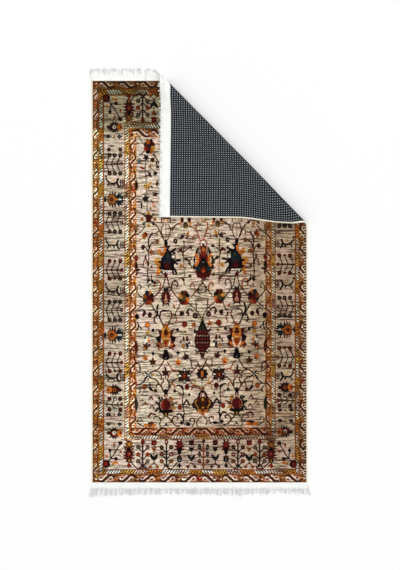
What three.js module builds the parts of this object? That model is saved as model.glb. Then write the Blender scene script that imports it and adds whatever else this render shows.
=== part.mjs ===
// A fringed area rug that lies flat on the floor, with one corner folded over onto its face.
// Lengths are in millimetres, angles in degrees, +Z is up and +Y runs along the rug.
//
// Every piece is first laid out flat: u runs across the rug, v along it, both from the middle
// of the face, and w is the height over the floor. One fold then carries all the pieces over
// together, so that they stay nested in the roll of the crease as they are in the flat.
import * as THREE from "three";
import { mergeVertices } from "three/addons/utils/BufferGeometryUtils.js";

// The rug, over its side bindings and between its fringes
const rugWidth = 800;
const rugLength = 1480;
const parting = 0.3;

// The two cloths, one bonded under the other
const backingThickness = 1.5;
const pileThickness = 3;
const pileFoot = backingThickness + parting;
const rugThickness = pileFoot + pileThickness;

// The overlocked side edges
const bindingWidth = 6;
const bindingRound = { inset: 2, drop: 1.2 };

// The fringes: a sewn heading strip with its strands
const strandsAtEachEnd = 150;
const heading = { width: 8, thickness: 4.4, frontThickness: 3.6 };
const strand = { rootWidth: 4, tipWidth: 2.7, tipThickness: 2 };
const strandSteps = { flat: 1, rolled: 5, lying: 2 };

// Strands lean and end unevenly, in a quick wave and a slow one, both in radians a strand
const leanWave = { size: 1.2, quick: 1.9, slow: 0.23 };
const reachWave = { size: 2.2, quick: 2.7, slow: 0.31 };

// Share of its length at which a strand on the flap has come down onto the face
const landingShare = 0.45;

// The outermost strands splay out past the rug's sides
const flareReach = 60;
const bottomFlares = { left: 8, right: 11 };
const topFlares = { left: 5, right: 0 };

// How far the strands reach out from the cloth's edge, at places across the rug
const bottomReach = [
  { at: -400, reach: 53 },
  { at: -250, reach: 45 },
  { at: -60, reach: 42 },
  { at: 150, reach: 47 },
  { at: 290, reach: 37 },
  { at: 400, reach: 45 },
];
const topReach = [
  { at: -400, reach: 47 },
  { at: -150, reach: 43 },
  { at: 100, reach: 44 },
  { at: 400, reach: 43 },
];

// The fold: the top right corner of the rug lands on this point of the face
const foldedCorner = { u: -109, v: 237 };
const flapClearance = 2;
const rollRadius = 18;
const rollOverturn = 25;
const settleRadius = 100;

// The lower edge of the flap sags down the face where the roll lifts it
const sag = { depth: 15, spread: 260, rise: 75, fades: [330, 490] };

// The cloths are cut into cells along the crease: how far down the flap, and where along the crease
const flapLines = [30, 60, 95, 260];
const creaseLines = [-700, -600, -480, -360, -260, -210, -160, -120, -80, -40, 0, 40, 80, 120, 160];

const radians = THREE.MathUtils.degToRad;
const smooth = THREE.MathUtils.smoothstep;

// The crease is the line midway between the corner's place in the flat and the point where it lands
const corner = new THREE.Vector2(rugWidth / 2, rugLength / 2);
const landing = new THREE.Vector2(foldedCorner.u, foldedCorner.v);
const away = corner.clone().sub(landing).normalize();
const creaseDistance = corner.clone().add(landing).multiplyScalar(0.5).dot(away);

// The roll is measured on the plane between the two cloths, which neither stretches nor shrinks
const neutral = backingThickness + parting / 2;
const flapNeutral = 2 * rugThickness + flapClearance - neutral;
const overturn = radians(rollOverturn);
const rollTop = neutral + rollRadius * (1 + Math.cos(overturn));
const settleDrop = settleRadius * (1 - Math.cos(overturn));
const slopeLength = (rollTop - settleDrop - flapNeutral) / Math.sin(overturn);
const foldSections = [
  { name: "roll", length: rollRadius * (Math.PI + overturn), turn: Math.PI + overturn, steps: 16 },
  { name: "slope", length: slopeLength, turn: 0, steps: 2 },
  { name: "settle", length: settleRadius * overturn, turn: -overturn, steps: 4 },
];

// Where a point of the neutral plane lies, seen along the crease, some way past the start of the fold
function foldProfile(distance) {
  let [plan, height, angle, left] = [0, neutral, 0, distance];
  for (const { length, turn } of foldSections) {
    const share = Math.min(left, length) / length;
    const turned = angle + turn * share;
    if (turn === 0) {
      plan += Math.cos(angle) * length * share;
      height += Math.sin(angle) * length * share;
    } else {
      const radius = length / turn;
      plan += radius * (Math.sin(turned) - Math.sin(angle));
      height += radius * (Math.cos(angle) - Math.cos(turned));
    }
    angle = turned;
    left -= Math.min(left, length);
  }
  return { plan: plan + Math.cos(angle) * left, height: height + Math.sin(angle) * left, angle };
}

const foldLength = foldSections.reduce((sum, { length }) => sum + length, 0);
const foldStart = creaseDistance - (foldLength + foldProfile(foldLength).plan) / 2;
const pastFoldStart = (u, v) => away.x * u + away.y * v - foldStart;

function sagAt(u, v) {
  const alongEdge = smooth(pastFoldStart(u, v), 0, sag.rise) * (1 - smooth(v, ...sag.fades));
  return sag.depth * alongEdge * smooth(u, rugWidth / 2 - sag.spread, rugWidth / 2);
}

// The place of a point of the flat layout once the corner is folded over
function folded(u, v, w) {
  const distance = pastFoldStart(u, v);
  if (distance <= 0) return [u, v, w];
  const { plan, height, angle } = foldProfile(distance);
  const offset = w - neutral;
  const shift = plan - Math.sin(angle) * offset - distance;
  return [u + away.x * shift, v + away.y * shift - sagAt(u, v), height + Math.cos(angle) * offset];
}

// Distances past the fold's start at which the cloth is cut into cells
function foldLines() {
  const lines = [0];
  for (const { length, steps } of foldSections) {
    const start = lines.at(-1);
    for (let i = 1; i <= steps; i++) lines.push(start + (length * i) / steps);
  }
  return lines;
}

// The part of a flat outline where a linear measure stays at or over a level
function clip(outline, measure, level) {
  const kept = [];
  outline.forEach((a, i) => {
    const b = outline[(i + 1) % outline.length];
    const [overA, overB] = [measure(a) - level, measure(b) - level];
    if (overA >= 0) kept.push(a);
    if (overA * overB < 0) {
      const share = overA / (overA - overB);
      kept.push([a[0] + (b[0] - a[0]) * share, a[1] + (b[1] - a[1]) * share]);
    }
  });
  return kept;
}

const between = (outline, measure, from, to) =>
  clip(clip(outline, measure, from), (p) => -measure(p), -to);

// A cloth's outline as cells: one for all that lies flat, and small ones from the fold onwards
function clothCells(outline) {
  const past = ([u, v]) => pastFoldStart(u, v);
  const along = ([u, v]) => away.y * u - away.x * v;
  const rolled = foldLines();
  const lines = [...rolled, ...flapLines.map((d) => rolled.at(-1) + d)];
  const cells = [];
  for (let i = 0; i + 1 < lines.length; i++) {
    const strip = between(outline, past, lines[i], lines[i + 1]);
    for (let j = 0; j + 1 < creaseLines.length; j++) {
      const cell = between(strip, along, creaseLines[j], creaseLines[j + 1]);
      if (cell.length > 2) cells.push(cell);
    }
  }
  return [flatCell(outline, past, along), ...cells];
}

// The flat part, with a corner wherever a cell of the fold meets it, from its farthest corner on
function flatCell(outline, past, along) {
  const flat = clip(outline, (p) => -past(p), 0);
  const cell = [];
  flat.forEach((a, i) => {
    const b = flat[(i + 1) % flat.length];
    cell.push(a);
    if (Math.abs(past(a)) + Math.abs(past(b)) > 1e-6) return;
    const [alongA, alongB] = [along(a), along(b)];
    const met = creaseLines.filter((t) => (t - alongA) * (t - alongB) < 0);
    if (alongA > alongB) met.reverse();
    for (const t of met) {
      const share = (t - alongA) / (alongB - alongA);
      cell.push([a[0] + (b[0] - a[0]) * share, a[1] + (b[1] - a[1]) * share]);
    }
  });
  const farthest = cell.reduce((best, p, i) => (past(p) < past(cell[best]) ? i : best), 0);
  return [...cell.slice(farthest), ...cell.slice(0, farthest)];
}

// A closed solid over flat cells that share corners. Each corner is [u, v], with a third value
// where a piece needs one, and heightsAt gives its lowest and highest w.
function layerSolid(cells, heightsAt) {
  const positions = [];
  const point = (p, side) => folded(p[0], p[1], heightsAt(p)[side]);
  const key = (p) => `${p[0].toFixed(3)},${p[1].toFixed(3)}`;
  const freeEdges = new Map();
  for (const cell of cells) {
    const turned = THREE.ShapeUtils.area(cell.map(([x, y]) => ({ x, y }))) < 0;
    const ring = turned ? [...cell].reverse() : cell;
    for (let i = 1; i + 1 < ring.length; i++) {
      positions.push(...point(ring[0], 1), ...point(ring[i], 1), ...point(ring[i + 1], 1));
      positions.push(...point(ring[0], 0), ...point(ring[i + 1], 0), ...point(ring[i], 0));
    }
    ring.forEach((a, i) => {
      const b = ring[(i + 1) % ring.length];
      if (!freeEdges.delete(`${key(b)} ${key(a)}`)) freeEdges.set(`${key(a)} ${key(b)}`, [a, b]);
    });
  }
  for (const [a, b] of freeEdges.values()) {
    positions.push(...point(a, 0), ...point(b, 0), ...point(b, 1));
    positions.push(...point(a, 0), ...point(b, 1), ...point(a, 1));
  }
  const geometry = new THREE.BufferGeometry();
  geometry.setAttribute("position", new THREE.Float32BufferAttribute(positions, 3));
  return mergeVertices(geometry, 1e-3);
}

const rectangle = (u0, u1, v0, v1) => [
  [u0, v0],
  [u1, v0],
  [u1, v1],
  [u0, v1],
];

function clothSheet(foot, top) {
  const [u, v] = [rugWidth / 2 - bindingWidth, rugLength / 2];
  return layerSolid(clothCells(rectangle(-u, u, -v, v)), () => [foot, top]);
}

// An overlocked edge: a flat inner side against the cloths and a rounded outer side
function edgeBinding(side) {
  const outer = rugWidth / 2;
  const inner = outer - bindingWidth + parting;
  const shoulder = outer - bindingRound.inset;
  const end = rugLength / 2;
  const cells = [
    ...clothCells(rectangle(side * inner, side * shoulder, -end, end)),
    ...clothCells(rectangle(side * shoulder, side * outer, -end, end)),
  ];
  return layerSolid(cells, ([u]) => {
    const down = THREE.MathUtils.mapLinear(Math.abs(u), shoulder, outer, 0, bindingRound.drop);
    const drop = Math.max(down, 0);
    return [drop, rugThickness - drop];
  });
}

function reachAt(table, u) {
  const next = Math.max(1, table.findIndex(({ at }) => at >= u));
  const [a, b] = [table[next - 1], table[next]];
  return THREE.MathUtils.mapLinear(u, a.at, b.at, a.reach, b.reach);
}

const wave = ({ size, quick, slow }, k) => size * Math.sin(quick * k) * Math.cos(slow * k);

// A strand on the flap comes down beside the cloth's edge and ends level on the face
const restingTop = flapNeutral + neutral - rugThickness - parting;

function strandHeights(share, lying) {
  const thickness = THREE.MathUtils.lerp(heading.frontThickness, strand.tipThickness, share);
  const down = Math.min(share / landingShare, 1) * (restingTop - thickness) * lying;
  return [down, down + thickness];
}

// One fringe: strands of uneven length and lean, their roots fused in the heading strip.
// The third value of a corner is the share of the strand's length at that corner.
function fringe({ end, from, to, reaches, flares, stepsAt }) {
  const pitch = rugWidth / strandsAtEachEnd;
  const count = Math.round((to - from) / pitch);
  const vAt = (out) => end * (rugLength / 2 + out);
  const isBack = (p) => p[2] < 0;
  const gap = pitch - strand.rootWidth;
  const width = (to - from + gap) / count;
  const cells = [];
  for (let k = 0; k < count; k++) {
    const left = from + k * width;
    const right = left + strand.rootWidth;
    const next = k + 1 < count ? left + width : right;
    cells.push([
      [left, vAt(parting), -1],
      [next, vAt(parting), -1],
      ...(next > right ? [[next, vAt(heading.width), 0]] : []),
      [right, vAt(heading.width), 0],
      [left, vAt(heading.width), 0],
    ]);
    const middle = (left + right) / 2;
    const nearEdge = smooth(Math.abs(middle), rugWidth / 2 - flareReach, rugWidth / 2);
    const flare = nearEdge * (middle < 0 ? -flares.left : flares.right);
    const lean = flare + wave(leanWave, k);
    const reach = reachAt(reaches, middle) + wave(reachWave, k);
    const steps = stepsAt(middle);
    for (let i = 0; i < steps; i++) {
      const row = (share) => {
        const half = THREE.MathUtils.lerp(strand.rootWidth, strand.tipWidth, share) / 2;
        const out = THREE.MathUtils.lerp(heading.width, reach, share);
        return [middle + lean * share, half, vAt(out), share];
      };
      const [u0, half0, v0, share0] = row(i / steps);
      const [u1, half1, v1, share1] = row((i + 1) / steps);
      cells.push([
        [u0 - half0, v0, share0],
        [u0 + half0, v0, share0],
        [u1 + half1, v1, share1],
        [u1 - half1, v1, share1],
      ]);
    }
  }
  return layerSolid(cells, (p) => {
    if (isBack(p)) return [0, heading.thickness];
    return strandHeights(p[2], smooth(pastFoldStart(p[0], p[1]), foldLength / 2, foldLength));
  });
}

// The top fringe is parted where its strands start to go round the fold
const longestStrand = Math.max(...topReach.map(({ reach }) => reach)) + reachWave.size;
const foldStartsAt = (v) => (foldStart - away.y * v) / away.x;
const topParting = foldStartsAt(rugLength / 2 + longestStrand) - strand.rootWidth;
const rollEnd = foldStartsAt(rugLength / 2) + foldLength / away.x;

const [leftEnd, rightEnd] = [-rugWidth / 2, rugWidth / 2];
const bottom = { end: -1, reaches: bottomReach, flares: bottomFlares };
const top = { end: 1, reaches: topReach, flares: topFlares };
const foldedSteps = (u) => (u < rollEnd ? strandSteps.rolled : strandSteps.lying);
const flatSteps = () => strandSteps.flat;
const fringes = [
  { name: "fringe_bottom", ...bottom, from: leftEnd, to: rightEnd, stepsAt: flatSteps },
  { name: "fringe_top_flat", ...top, from: leftEnd, to: topParting, stepsAt: flatSteps },
  { name: "fringe_top_folded", ...top, from: topParting + parting, to: rightEnd, stepsAt: foldedSteps },
];

const pileMaterial = new THREE.MeshStandardMaterial({ color: 0x96775c, roughness: 0.95 });
const backingMaterial = new THREE.MeshStandardMaterial({ color: 0x2e333b, roughness: 0.85 });
const bindingMaterial = new THREE.MeshStandardMaterial({ color: 0xe9e3d4, roughness: 0.9 });
const fringeMaterial = new THREE.MeshStandardMaterial({ color: 0xf2f3ee, roughness: 0.9 });

function piece(name, geometry, material) {
  geometry.computeVertexNormals();
  const mesh = new THREE.Mesh(geometry, material);
  mesh.name = name;
  return mesh;
}

const laidOut = new THREE.Group();
laidOut.add(
  piece("backing", clothSheet(0, backingThickness), backingMaterial),
  piece("pile_face", clothSheet(pileFoot, rugThickness), pileMaterial),
  piece("binding_left", edgeBinding(-1), bindingMaterial),
  piece("binding_right", edgeBinding(1), bindingMaterial),
);
for (const row of fringes) laidOut.add(piece(row.name, fringe(row), fringeMaterial));

// The origin is the middle of the whole rug's outline, on the floor
const bounds = new THREE.Box3().setFromObject(laidOut);
const middle = bounds.getCenter(new THREE.Vector3());
laidOut.position.set(-middle.x, -middle.y, -bounds.min.z);

const rug = new THREE.Group();
rug.name = "fringed_area_rug";
rug.add(laidOut);

export default rug;
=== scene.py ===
# The looks of a fringed area rug that lies flat on the floor with one corner folded over.
# Lengths are millimetres unless a name or comment says otherwise; meshes are made in metres.
import math

import bpy
import numpy as np
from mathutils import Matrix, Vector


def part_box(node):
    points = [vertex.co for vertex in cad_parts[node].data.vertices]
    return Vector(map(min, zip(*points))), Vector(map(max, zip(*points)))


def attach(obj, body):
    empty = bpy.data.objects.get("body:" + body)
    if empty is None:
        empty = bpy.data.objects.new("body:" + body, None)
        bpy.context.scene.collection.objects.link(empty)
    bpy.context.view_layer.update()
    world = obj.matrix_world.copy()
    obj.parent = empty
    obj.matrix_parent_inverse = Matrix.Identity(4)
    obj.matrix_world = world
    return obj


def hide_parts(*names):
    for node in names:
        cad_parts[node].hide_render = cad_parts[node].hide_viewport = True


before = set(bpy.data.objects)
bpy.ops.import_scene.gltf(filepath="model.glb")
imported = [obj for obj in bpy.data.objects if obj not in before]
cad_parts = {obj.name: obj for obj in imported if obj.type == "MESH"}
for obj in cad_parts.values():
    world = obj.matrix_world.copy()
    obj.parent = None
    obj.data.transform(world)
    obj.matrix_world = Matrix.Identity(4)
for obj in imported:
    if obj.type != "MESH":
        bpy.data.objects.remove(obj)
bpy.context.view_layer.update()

# The rug, over its side bindings and between its fringes, as in the part's own source
RUG_WIDTH = 800
RUG_LENGTH = 1480
PARTING = 0.3
BACKING_THICKNESS = 1.5
PILE_FOOT = 1.8
RUG_THICKNESS = 4.8
BINDING_WIDTH = 6
FACE_WIDTH = RUG_WIDTH - 2 * BINDING_WIDTH
FACE_LENGTH = RUG_LENGTH

# The fold: the rug's top right corner lands on a point of its face
CORNER = np.array([RUG_WIDTH / 2, RUG_LENGTH / 2])
LANDING = np.array([-109, 237])
FLAP_CLEARANCE = 2
ROLL_RADIUS = 18
OVERTURN = math.radians(25)
SETTLE_RADIUS = 100
SAG = {"depth": 15, "spread": 260, "rise": 75, "fades": (330, 490)}

# The fringes: their strands and what holds them, how the strands' tips flare out towards the rug's
# left and right, and how far they reach past the cloth at some places across it
STRANDS_AT_EACH_END = 150
HEADING = {"width": 8, "front": 3.6, "cell": 4}
STRAND = {"root": 4, "thickness": 2}
LEAN_WAVE = {"size": 1.2, "quick": 1.9, "slow": 0.23}
REACH_WAVE = {"size": 2.2, "quick": 2.7, "slow": 0.31}
LANDING_SHARE = 0.45
FLARE_REACH = 60
BOTTOM_FLARES = (8, 11)
TOP_FLARES = (5, 0)
BOTTOM_REACH = {"at": (-400, -250, -60, 150, 290, 400), "reach": (53, 45, 42, 47, 37, 45)}
TOP_REACH = {"at": (-400, -150, 100, 400), "reach": (47, 43, 44, 43)}

# One knot of the face's drawing. The real tufts are half as wide and are left to the bump.
KNOT = 1.95
FACE_PARTS = 4
RELIEF = {"rough": 0.09, "wave": 0.12, "turn of a row": 2.1, "worn": 0.15, "kept between": (-0.45, 0.1)}
BACKING_CELL = 8

# How the baked picture of a cloth is filled, in shares of it: the felt's underside takes most of its
# own, its hidden top the rest, and the face all but a margin into which its walls reach
BAKE_UNDERSIDE = ((0.9, 0.98), (0.01, 0.01))
BAKE_TOP = ((0.06, 0.98), (0.93, 0.01))
BAKE_MARGIN = 0.01
BAKE_WALL = 0.008

# The rubber dots under the backing: how far apart across the rug and along it, and their sizes
DOT_PITCH = (8, 8.66)
DOT = {"radius": 1.8, "top": 1.15, "height": 0.7, "sunk": 0.1, "bare until": 0.62}

# The yarns of the edges: the turns round the bindings, the stitches of the headings, and how the
# strands twist, lean together in clumps and come apart
TURN = {"pitch": 2.4, "yarn": 0.5, "spread": 2.3, "lean": 0.3, "middle": 2.8}
STITCH = {"pitch": 2.67, "inset": 1, "yarn": 0.45, "spread": 2.2, "lean": 0.4, "foot": 1.4, "rise": 0.8}
BINDING_SECTIONS = 248
TWIST_LAY = 17
OFF_FLOOR = 0.05
WOVEN_ENDS = {-1: 25, 1: 39}
CLUMP = {"strands": 1.7, "gather": 0.4, "lean": 2.2, "ragged": 2.5}
LOOSE = {"to each strand": 3, "thickness": 1.5, "scatter": 1.7, "sway": 1.2, "reach": (0.88, 1.04)}
TIP_LIFT = 3.5
STRAND_POINTS = 15

# Colours of what isn't the face, as sRGB hex
FELT_COLOUR = "#1C2026"
DOT_COLOUR = "#C4C8CB"
BINDING_COLOUR = "#F7F0DC"
WEB_COLOUR = "#FAFBF8"
FRINGE_COLOUR = "#F4F6F3"
FLOOR_COLOUR = "#F7F7F7"

# The aged finish: pink and golden patches in the ground, dark passes across it in streaks that are
# closer where the face is worn, and a fine grain. The ground's yarns are those paler than PALE.
PALE = 0.35
PATCH_TINTS = ((1.04, 0.975, 0.965), (0.98, 1.0, 0.915))
PATCH_KNOTS = 14
PASS_COLOUR = "#46352A"
PASS_SHARE = {"ground": 0.88, "motif": 0.5}
PASS_STREAKS = (
    # knots across, knots along, weight
    (24, 1, 1),
    (40, 2, 0.7),
)
WORN = {"knots": 26, "from and to": (-1, 1.6), "weight": 0.8}
PASSES_SHOW = (0.1, 1.9)
GRAIN = {"streak": (6, 2), "ground": 0.13, "motif": 0.24, "knot": 0.11}

# Dark yarns took more dye, and pale ones less, than a middle one: powers for red, green and blue
DYE_MIDDLE = "#BAA995"
DYE_DEPTH = (1.11, 1.17, 1.24)

# Parts of the face made darker or lighter, by a factor for each of red, green and blue
ZONE_FACTORS = (
    # red, green and blue kept, from and to across, from and to along, how softly it ends
    ((0.84, 0.80, 0.76), (70, 440), (-700, 790), 110),
    ((0.85, 0.84, 0.83), (-352, -277), (-560, 560), 5),
    ((0.78, 0.77, 0.76), (-352, -277), (-190, 75), 30),
    ((1.5, 1.5, 1.35), (-277, -233), (-600, 600), 5),
    ((0.94, 0.91, 0.88), (-180, 90), (-530, 560), 8),
    ((0.82, 0.79, 0.76), (155, 200), (-530, 300), 30),
    ((0.69, 0.67, 0.63), (200, 243), (-560, 300), 25),
    ((0.94, 0.93, 0.86), (243, 281), (-600, 600), 5),
    ((0.68, 0.65, 0.62), (281, 352), (-560, 600), 5),
    ((0.96, 1.03, 0.99), (352, 440), (-690, 790), 5),
    ((0.76, 0.74, 0.72), (-90, 440), (-690, -530), 30),
    ((1.10, 0.88, 0.80), (-233, 243), (-566, -537), 3),
    ((0.97, 0.94, 0.96), (-352, 352), (-690, -583), 5),
    ((1.25, 1.50, 1.55), (-400, -353), (290, 575), 15),
    ((1.12, 1.15, 1.22), (-400, 400), (-740, -690), 5),
    ((1.16, 1.15, 0.96), (-400, -366), (-690, 560), 5),
    ((0.45, 0.47, 0.40), (-372, 440), (555, 790), 22),
)

# The photo, 400 by 570 pixels: what its middle looks at, and how much of the floor it shows
LENS = 150
SENSOR = 36
PHOTO_MIDDLE = (0.55, -9.7)
PHOTO_LENGTH = 2101.6

# The floor in metres: half its side, and how far it lies under the rug
FLOOR_HALF = 6
FLOOR_DROP = 2e-4

# Light in metres and watts: white from all round, and a square lamp beyond the rug's top
SKY_STRENGTH = 0.75
LAMP = {"place": (2, 18, 40), "size": 26, "power": 7400}

METRE = 1000
rng = np.random.default_rng(7)

# The fold's sections, from the sizes above
AWAY = (CORNER - LANDING) / np.linalg.norm(CORNER - LANDING)
CREASE_DISTANCE = (CORNER + LANDING) / 2 @ AWAY
NEUTRAL = BACKING_THICKNESS + PARTING / 2
FLAP_NEUTRAL = 2 * RUG_THICKNESS + FLAP_CLEARANCE - NEUTRAL
ROLL_TOP = NEUTRAL + ROLL_RADIUS * (1 + math.cos(OVERTURN))
SETTLE_DROP = SETTLE_RADIUS * (1 - math.cos(OVERTURN))
FOLD_SECTIONS = (
    # length, turn
    (ROLL_RADIUS * (math.pi + OVERTURN), math.pi + OVERTURN),
    ((ROLL_TOP - SETTLE_DROP - FLAP_NEUTRAL) / math.sin(OVERTURN), 0),
    (SETTLE_RADIUS * OVERTURN, -OVERTURN),
)
FOLD_LENGTH = sum(length for length, turn in FOLD_SECTIONS)

# The backing's dots stop short of the tight bend of the fold, so that the bend shows a band of bare dark
# felt: painted shade along the crease
BARE_LENGTH = DOT["bare until"] * FOLD_SECTIONS[0][0]


def fold_profile(distance):
    """Where the neutral plane lies some way past the fold's start: in plan, its height and its slope."""
    plan, height = np.zeros_like(distance), np.full_like(distance, NEUTRAL)
    angle, left = np.zeros_like(distance), distance
    for length, turn in FOLD_SECTIONS:
        run = np.minimum(left, length)
        turned = angle + turn * run / length
        if turn:
            plan = plan + length / turn * (np.sin(turned) - np.sin(angle))
            height = height + length / turn * (np.cos(angle) - np.cos(turned))
        else:
            plan = plan + np.cos(angle) * run
            height = height + np.sin(angle) * run
        angle = turned
        left = left - run
    return plan + np.cos(angle) * left, height + np.sin(angle) * left, angle


FOLD_START = CREASE_DISTANCE - (FOLD_LENGTH + float(fold_profile(np.array([FOLD_LENGTH]))[0][0])) / 2


def past_fold(u, v):
    return AWAY[0] * u + AWAY[1] * v - FOLD_START


def smoothstep(x, low, high):
    share = np.clip((x - low) / (high - low), 0, 1)
    return share * share * (3 - 2 * share)


def sag_at(u, v):
    """How far the flap's lower edge has slid down the face."""
    along_edge = smoothstep(past_fold(u, v), 0, SAG["rise"]) * (1 - smoothstep(v, *SAG["fades"]))
    return SAG["depth"] * along_edge * smoothstep(u, RUG_WIDTH / 2 - SAG["spread"], RUG_WIDTH / 2)


# The part's origin is the middle of its whole outline, so the layout is shifted by the corner of the left
# binding in model.glb
layout_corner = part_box("binding_left")[0]
SHIFT = np.array([layout_corner[0] * METRE + RUG_WIDTH / 2, layout_corner[1] * METRE + RUG_LENGTH / 2])


def folded(u, v, w):
    """Where points of the flat layout lie once the corner is folded over, in metres."""
    u, v, w = np.broadcast_arrays(*[np.asarray(x, float) for x in (u, v, w)])
    distance = np.maximum(past_fold(u, v), 0)
    plan, height, angle = fold_profile(distance)
    offset = w - NEUTRAL
    shift = plan - np.sin(angle) * offset - distance
    x = u + AWAY[0] * shift + SHIFT[0]
    y = v + AWAY[1] * shift - sag_at(u, v) + SHIFT[1]
    z = height + np.cos(angle) * offset
    return np.stack([x, y, z], axis=-1) / METRE

# The cartoon: the design of the face, one yarn for each knot

# Colours of the yarns, as sRGB hex
YARNS = {
    "cream": "#E4D1BD",
    "ivory": "#F6EDDD",
    "stone": "#83766A",
    "grey": "#727A80",
    "pink": "#C99B86",
    "red": "#8A2C1A",
    "maroon": "#501411",
    "plum": "#3A1D21",
    "rust": "#98531F",
    "brown": "#4C2915",
    "orange": "#CC7C38",
    "gold": "#BC893C",
    "yellow": "#D9AC5C",
    "tan": "#AD7A44",
    "olive": "#544A2A",
    "green": "#2C3424",
    "teal": "#1C2D39",
    "navy": "#19263B",
    "charcoal": "#221C19",
    "black": "#0E0805",
    "umber": "#8A552B",
    "copper": "#A0602E",
}
YARN_NUMBER = {name: number for number, name in enumerate(YARNS)}


class Cartoon:
    """A squared drawing of the face. Its columns run across the rug and its rows along it."""

    def __init__(self, width, length, knot):
        columns, rows = round(width / knot), round(length / knot)
        self.across = (np.arange(columns) + 0.5) * width / columns - width / 2
        self.along = (np.arange(rows) + 0.5) * length / rows - length / 2
        self.knots = np.full((rows, columns), YARN_NUMBER["cream"], np.uint8)

    def window(self, low, high):
        """The rows and columns between two corners, and where their knots are."""
        columns = slice(*np.searchsorted(self.across, (low[0], high[0])))
        rows = slice(*np.searchsorted(self.along, (low[1], high[1])))
        u, v = np.meshgrid(self.across[columns], self.along[rows])
        return rows, columns, u, v

    def paint(self, yarn, corners, margin, covers):
        """Gives a yarn to the knots near some corners that a test of their places picks."""
        low, high = corners.min(axis=0) - margin, corners.max(axis=0) + margin
        rows, columns, u, v = self.window(low, high)
        self.knots[rows, columns][covers(u, v)] = YARN_NUMBER[yarn]


class Pen:
    """Draws motifs in their own millimetres, x towards the rug's side and y up, at one place."""

    def __init__(self, cartoon, u, v, side=1, turn=0, size=1, flip=1):
        self.cartoon = cartoon
        self.origin = np.array([u, v], float)
        self.side = side
        self.turn = turn
        self.size = size
        self.flip = flip

    def places(self, points):
        """Where points of the motif lie on the rug."""
        x, y = np.asarray(points, float).T * self.size
        x = x * self.flip
        angle = math.radians(self.turn)
        u = (x * math.cos(angle) - y * math.sin(angle)) * self.side
        v = x * math.sin(angle) + y * math.cos(angle)
        return self.origin + np.stack([u, v], axis=1)

    def moved(self, x=0, y=0, turn=0, size=1):
        """A pen for a smaller motif that is part of this one. A turn is anticlockwise on the right."""
        (u, v), = self.places([(x, y)])
        turned = self.turn + turn * self.flip
        return Pen(self.cartoon, u, v, self.side, turned, self.size * size, self.flip)

    def halves(self):
        """Pens for both halves of a motif, drawn as its right one."""
        for flip in (-self.flip, self.flip):
            yield Pen(self.cartoon, *self.origin, self.side, self.turn, self.size, flip)

    def patch(self, yarn, points):
        """Fills an outline."""
        corners = self.places(points)

        def covers(u, v):
            inside = np.zeros(u.shape, bool)
            for (u0, v0), (u1, v1) in zip(corners, np.roll(corners, -1, axis=0)):
                if v0 != v1:
                    meets = u0 + (v - v0) * (u1 - u0) / (v1 - v0)
                    inside ^= ((v0 > v) != (v1 > v)) & (u < meets)
            return inside

        self.cartoon.paint(yarn, corners, 0, covers)

    def shield(self, yarn, right):
        """Fills an outline that is the same on both sides, given by its right half."""
        self.patch(yarn, [*right, *[(-x, y) for x, y in reversed(right)]])

    def line(self, yarn, width, points):
        """Draws a straight-sided line of some width through points."""
        corners = self.places(points)
        reach = width * self.size / 2

        def covers(u, v):
            near = np.zeros(u.shape, bool)
            for a, b in zip(corners, corners[1:]):
                step = b - a
                share = ((u - a[0]) * step[0] + (v - a[1]) * step[1]) / (step @ step)
                share = np.clip(share, 0, 1)
                near |= np.hypot(u - a[0] - share * step[0], v - a[1] - share * step[1]) < reach
            return near

        self.cartoon.paint(yarn, corners, reach, covers)

    def curve(self, yarn, width, points):
        """Draws a line that runs smoothly through points."""
        p = np.asarray(points, float)
        p = np.vstack([2 * p[0] - p[1], p, 2 * p[-1] - p[-2]])
        t = np.linspace(0, 1, 6, endpoint=False)[:, None]
        smooth = [
            0.5 * (2 * b + (c - a) * t + (2 * a - 5 * b + 4 * c - d) * t**2 + (3 * b - a - 3 * c + d) * t**3)
            for a, b, c, d in zip(p, p[1:], p[2:], p[3:])
        ]
        self.line(yarn, width, np.vstack([*smooth, p[-2:-1]]))

    def dot(self, yarn, width, height=None, x=0, y=0):
        """Fills an oval."""
        angles = np.linspace(0, 2 * math.pi, 16, endpoint=False)
        tall = height or width
        self.patch(yarn, [(x + math.cos(a) * width / 2, y + math.sin(a) * tall / 2) for a in angles])

    def leaf(self, yarn, length, width, x=0, y=0, turn=0):
        """Fills a pointed oval that grows upwards from its foot, or turned from there."""
        half = width / 2
        self.moved(x, y, turn).shield(yarn, [
            (0, 0), (0.7 * half, 0.2 * length), (half, 0.45 * length), (0.6 * half, 0.75 * length),
            (0, length)])


# Motifs of the borders. Each is drawn upright round its own middle.
def berry(pen, edge, yarn, core, x, y, width=15, height=16):
    """A round fruit in a dark line, with a pale spot."""
    pen.dot(edge, width, height, x, y)
    pen.dot(yarn, width * 0.62, height * 0.62, x, y)
    pen.dot(core, width * 0.27, height * 0.3, x, y)


def pair(pen, edge, body, x, y, length, width, turn):
    """A dark-edged leaf and its mirrored one."""
    for side in (-1, 1):
        pen.leaf(edge, length, width, side * x, y, -side * turn)
        pen.leaf(body, length * 0.62, width * 0.5, side * x, y, -side * turn)


def berry_branch(pen, rise, fall, yarns, cores, stem, edge="charcoal"):
    """A stem that crosses the border, with a row of berries above it and one below."""
    places = (18, -2, -22)
    for x in places:
        for y in (rise, -fall):
            pen.line(stem, 4.2, [(x + 13, 0), (x + 2, y * 0.78)])
    for x, yarn, core in zip(places, yarns, cores):
        for y in (rise, -fall):
            size = 16.5 * 0.66 if yarn == "brown" else 16.5
            berry(pen, edge, yarn, core, x, y, size, size)
    pen.line(stem, 4.6, [(34, 0), (-24, 0)])
    berry(pen, edge, cores[0], "umber", -27, 0, 13, 14)


def berry_pair(pen):
    for x in (-22, 20):
        berry(pen, "charcoal", "plum", "stone", x, 0)


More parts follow.
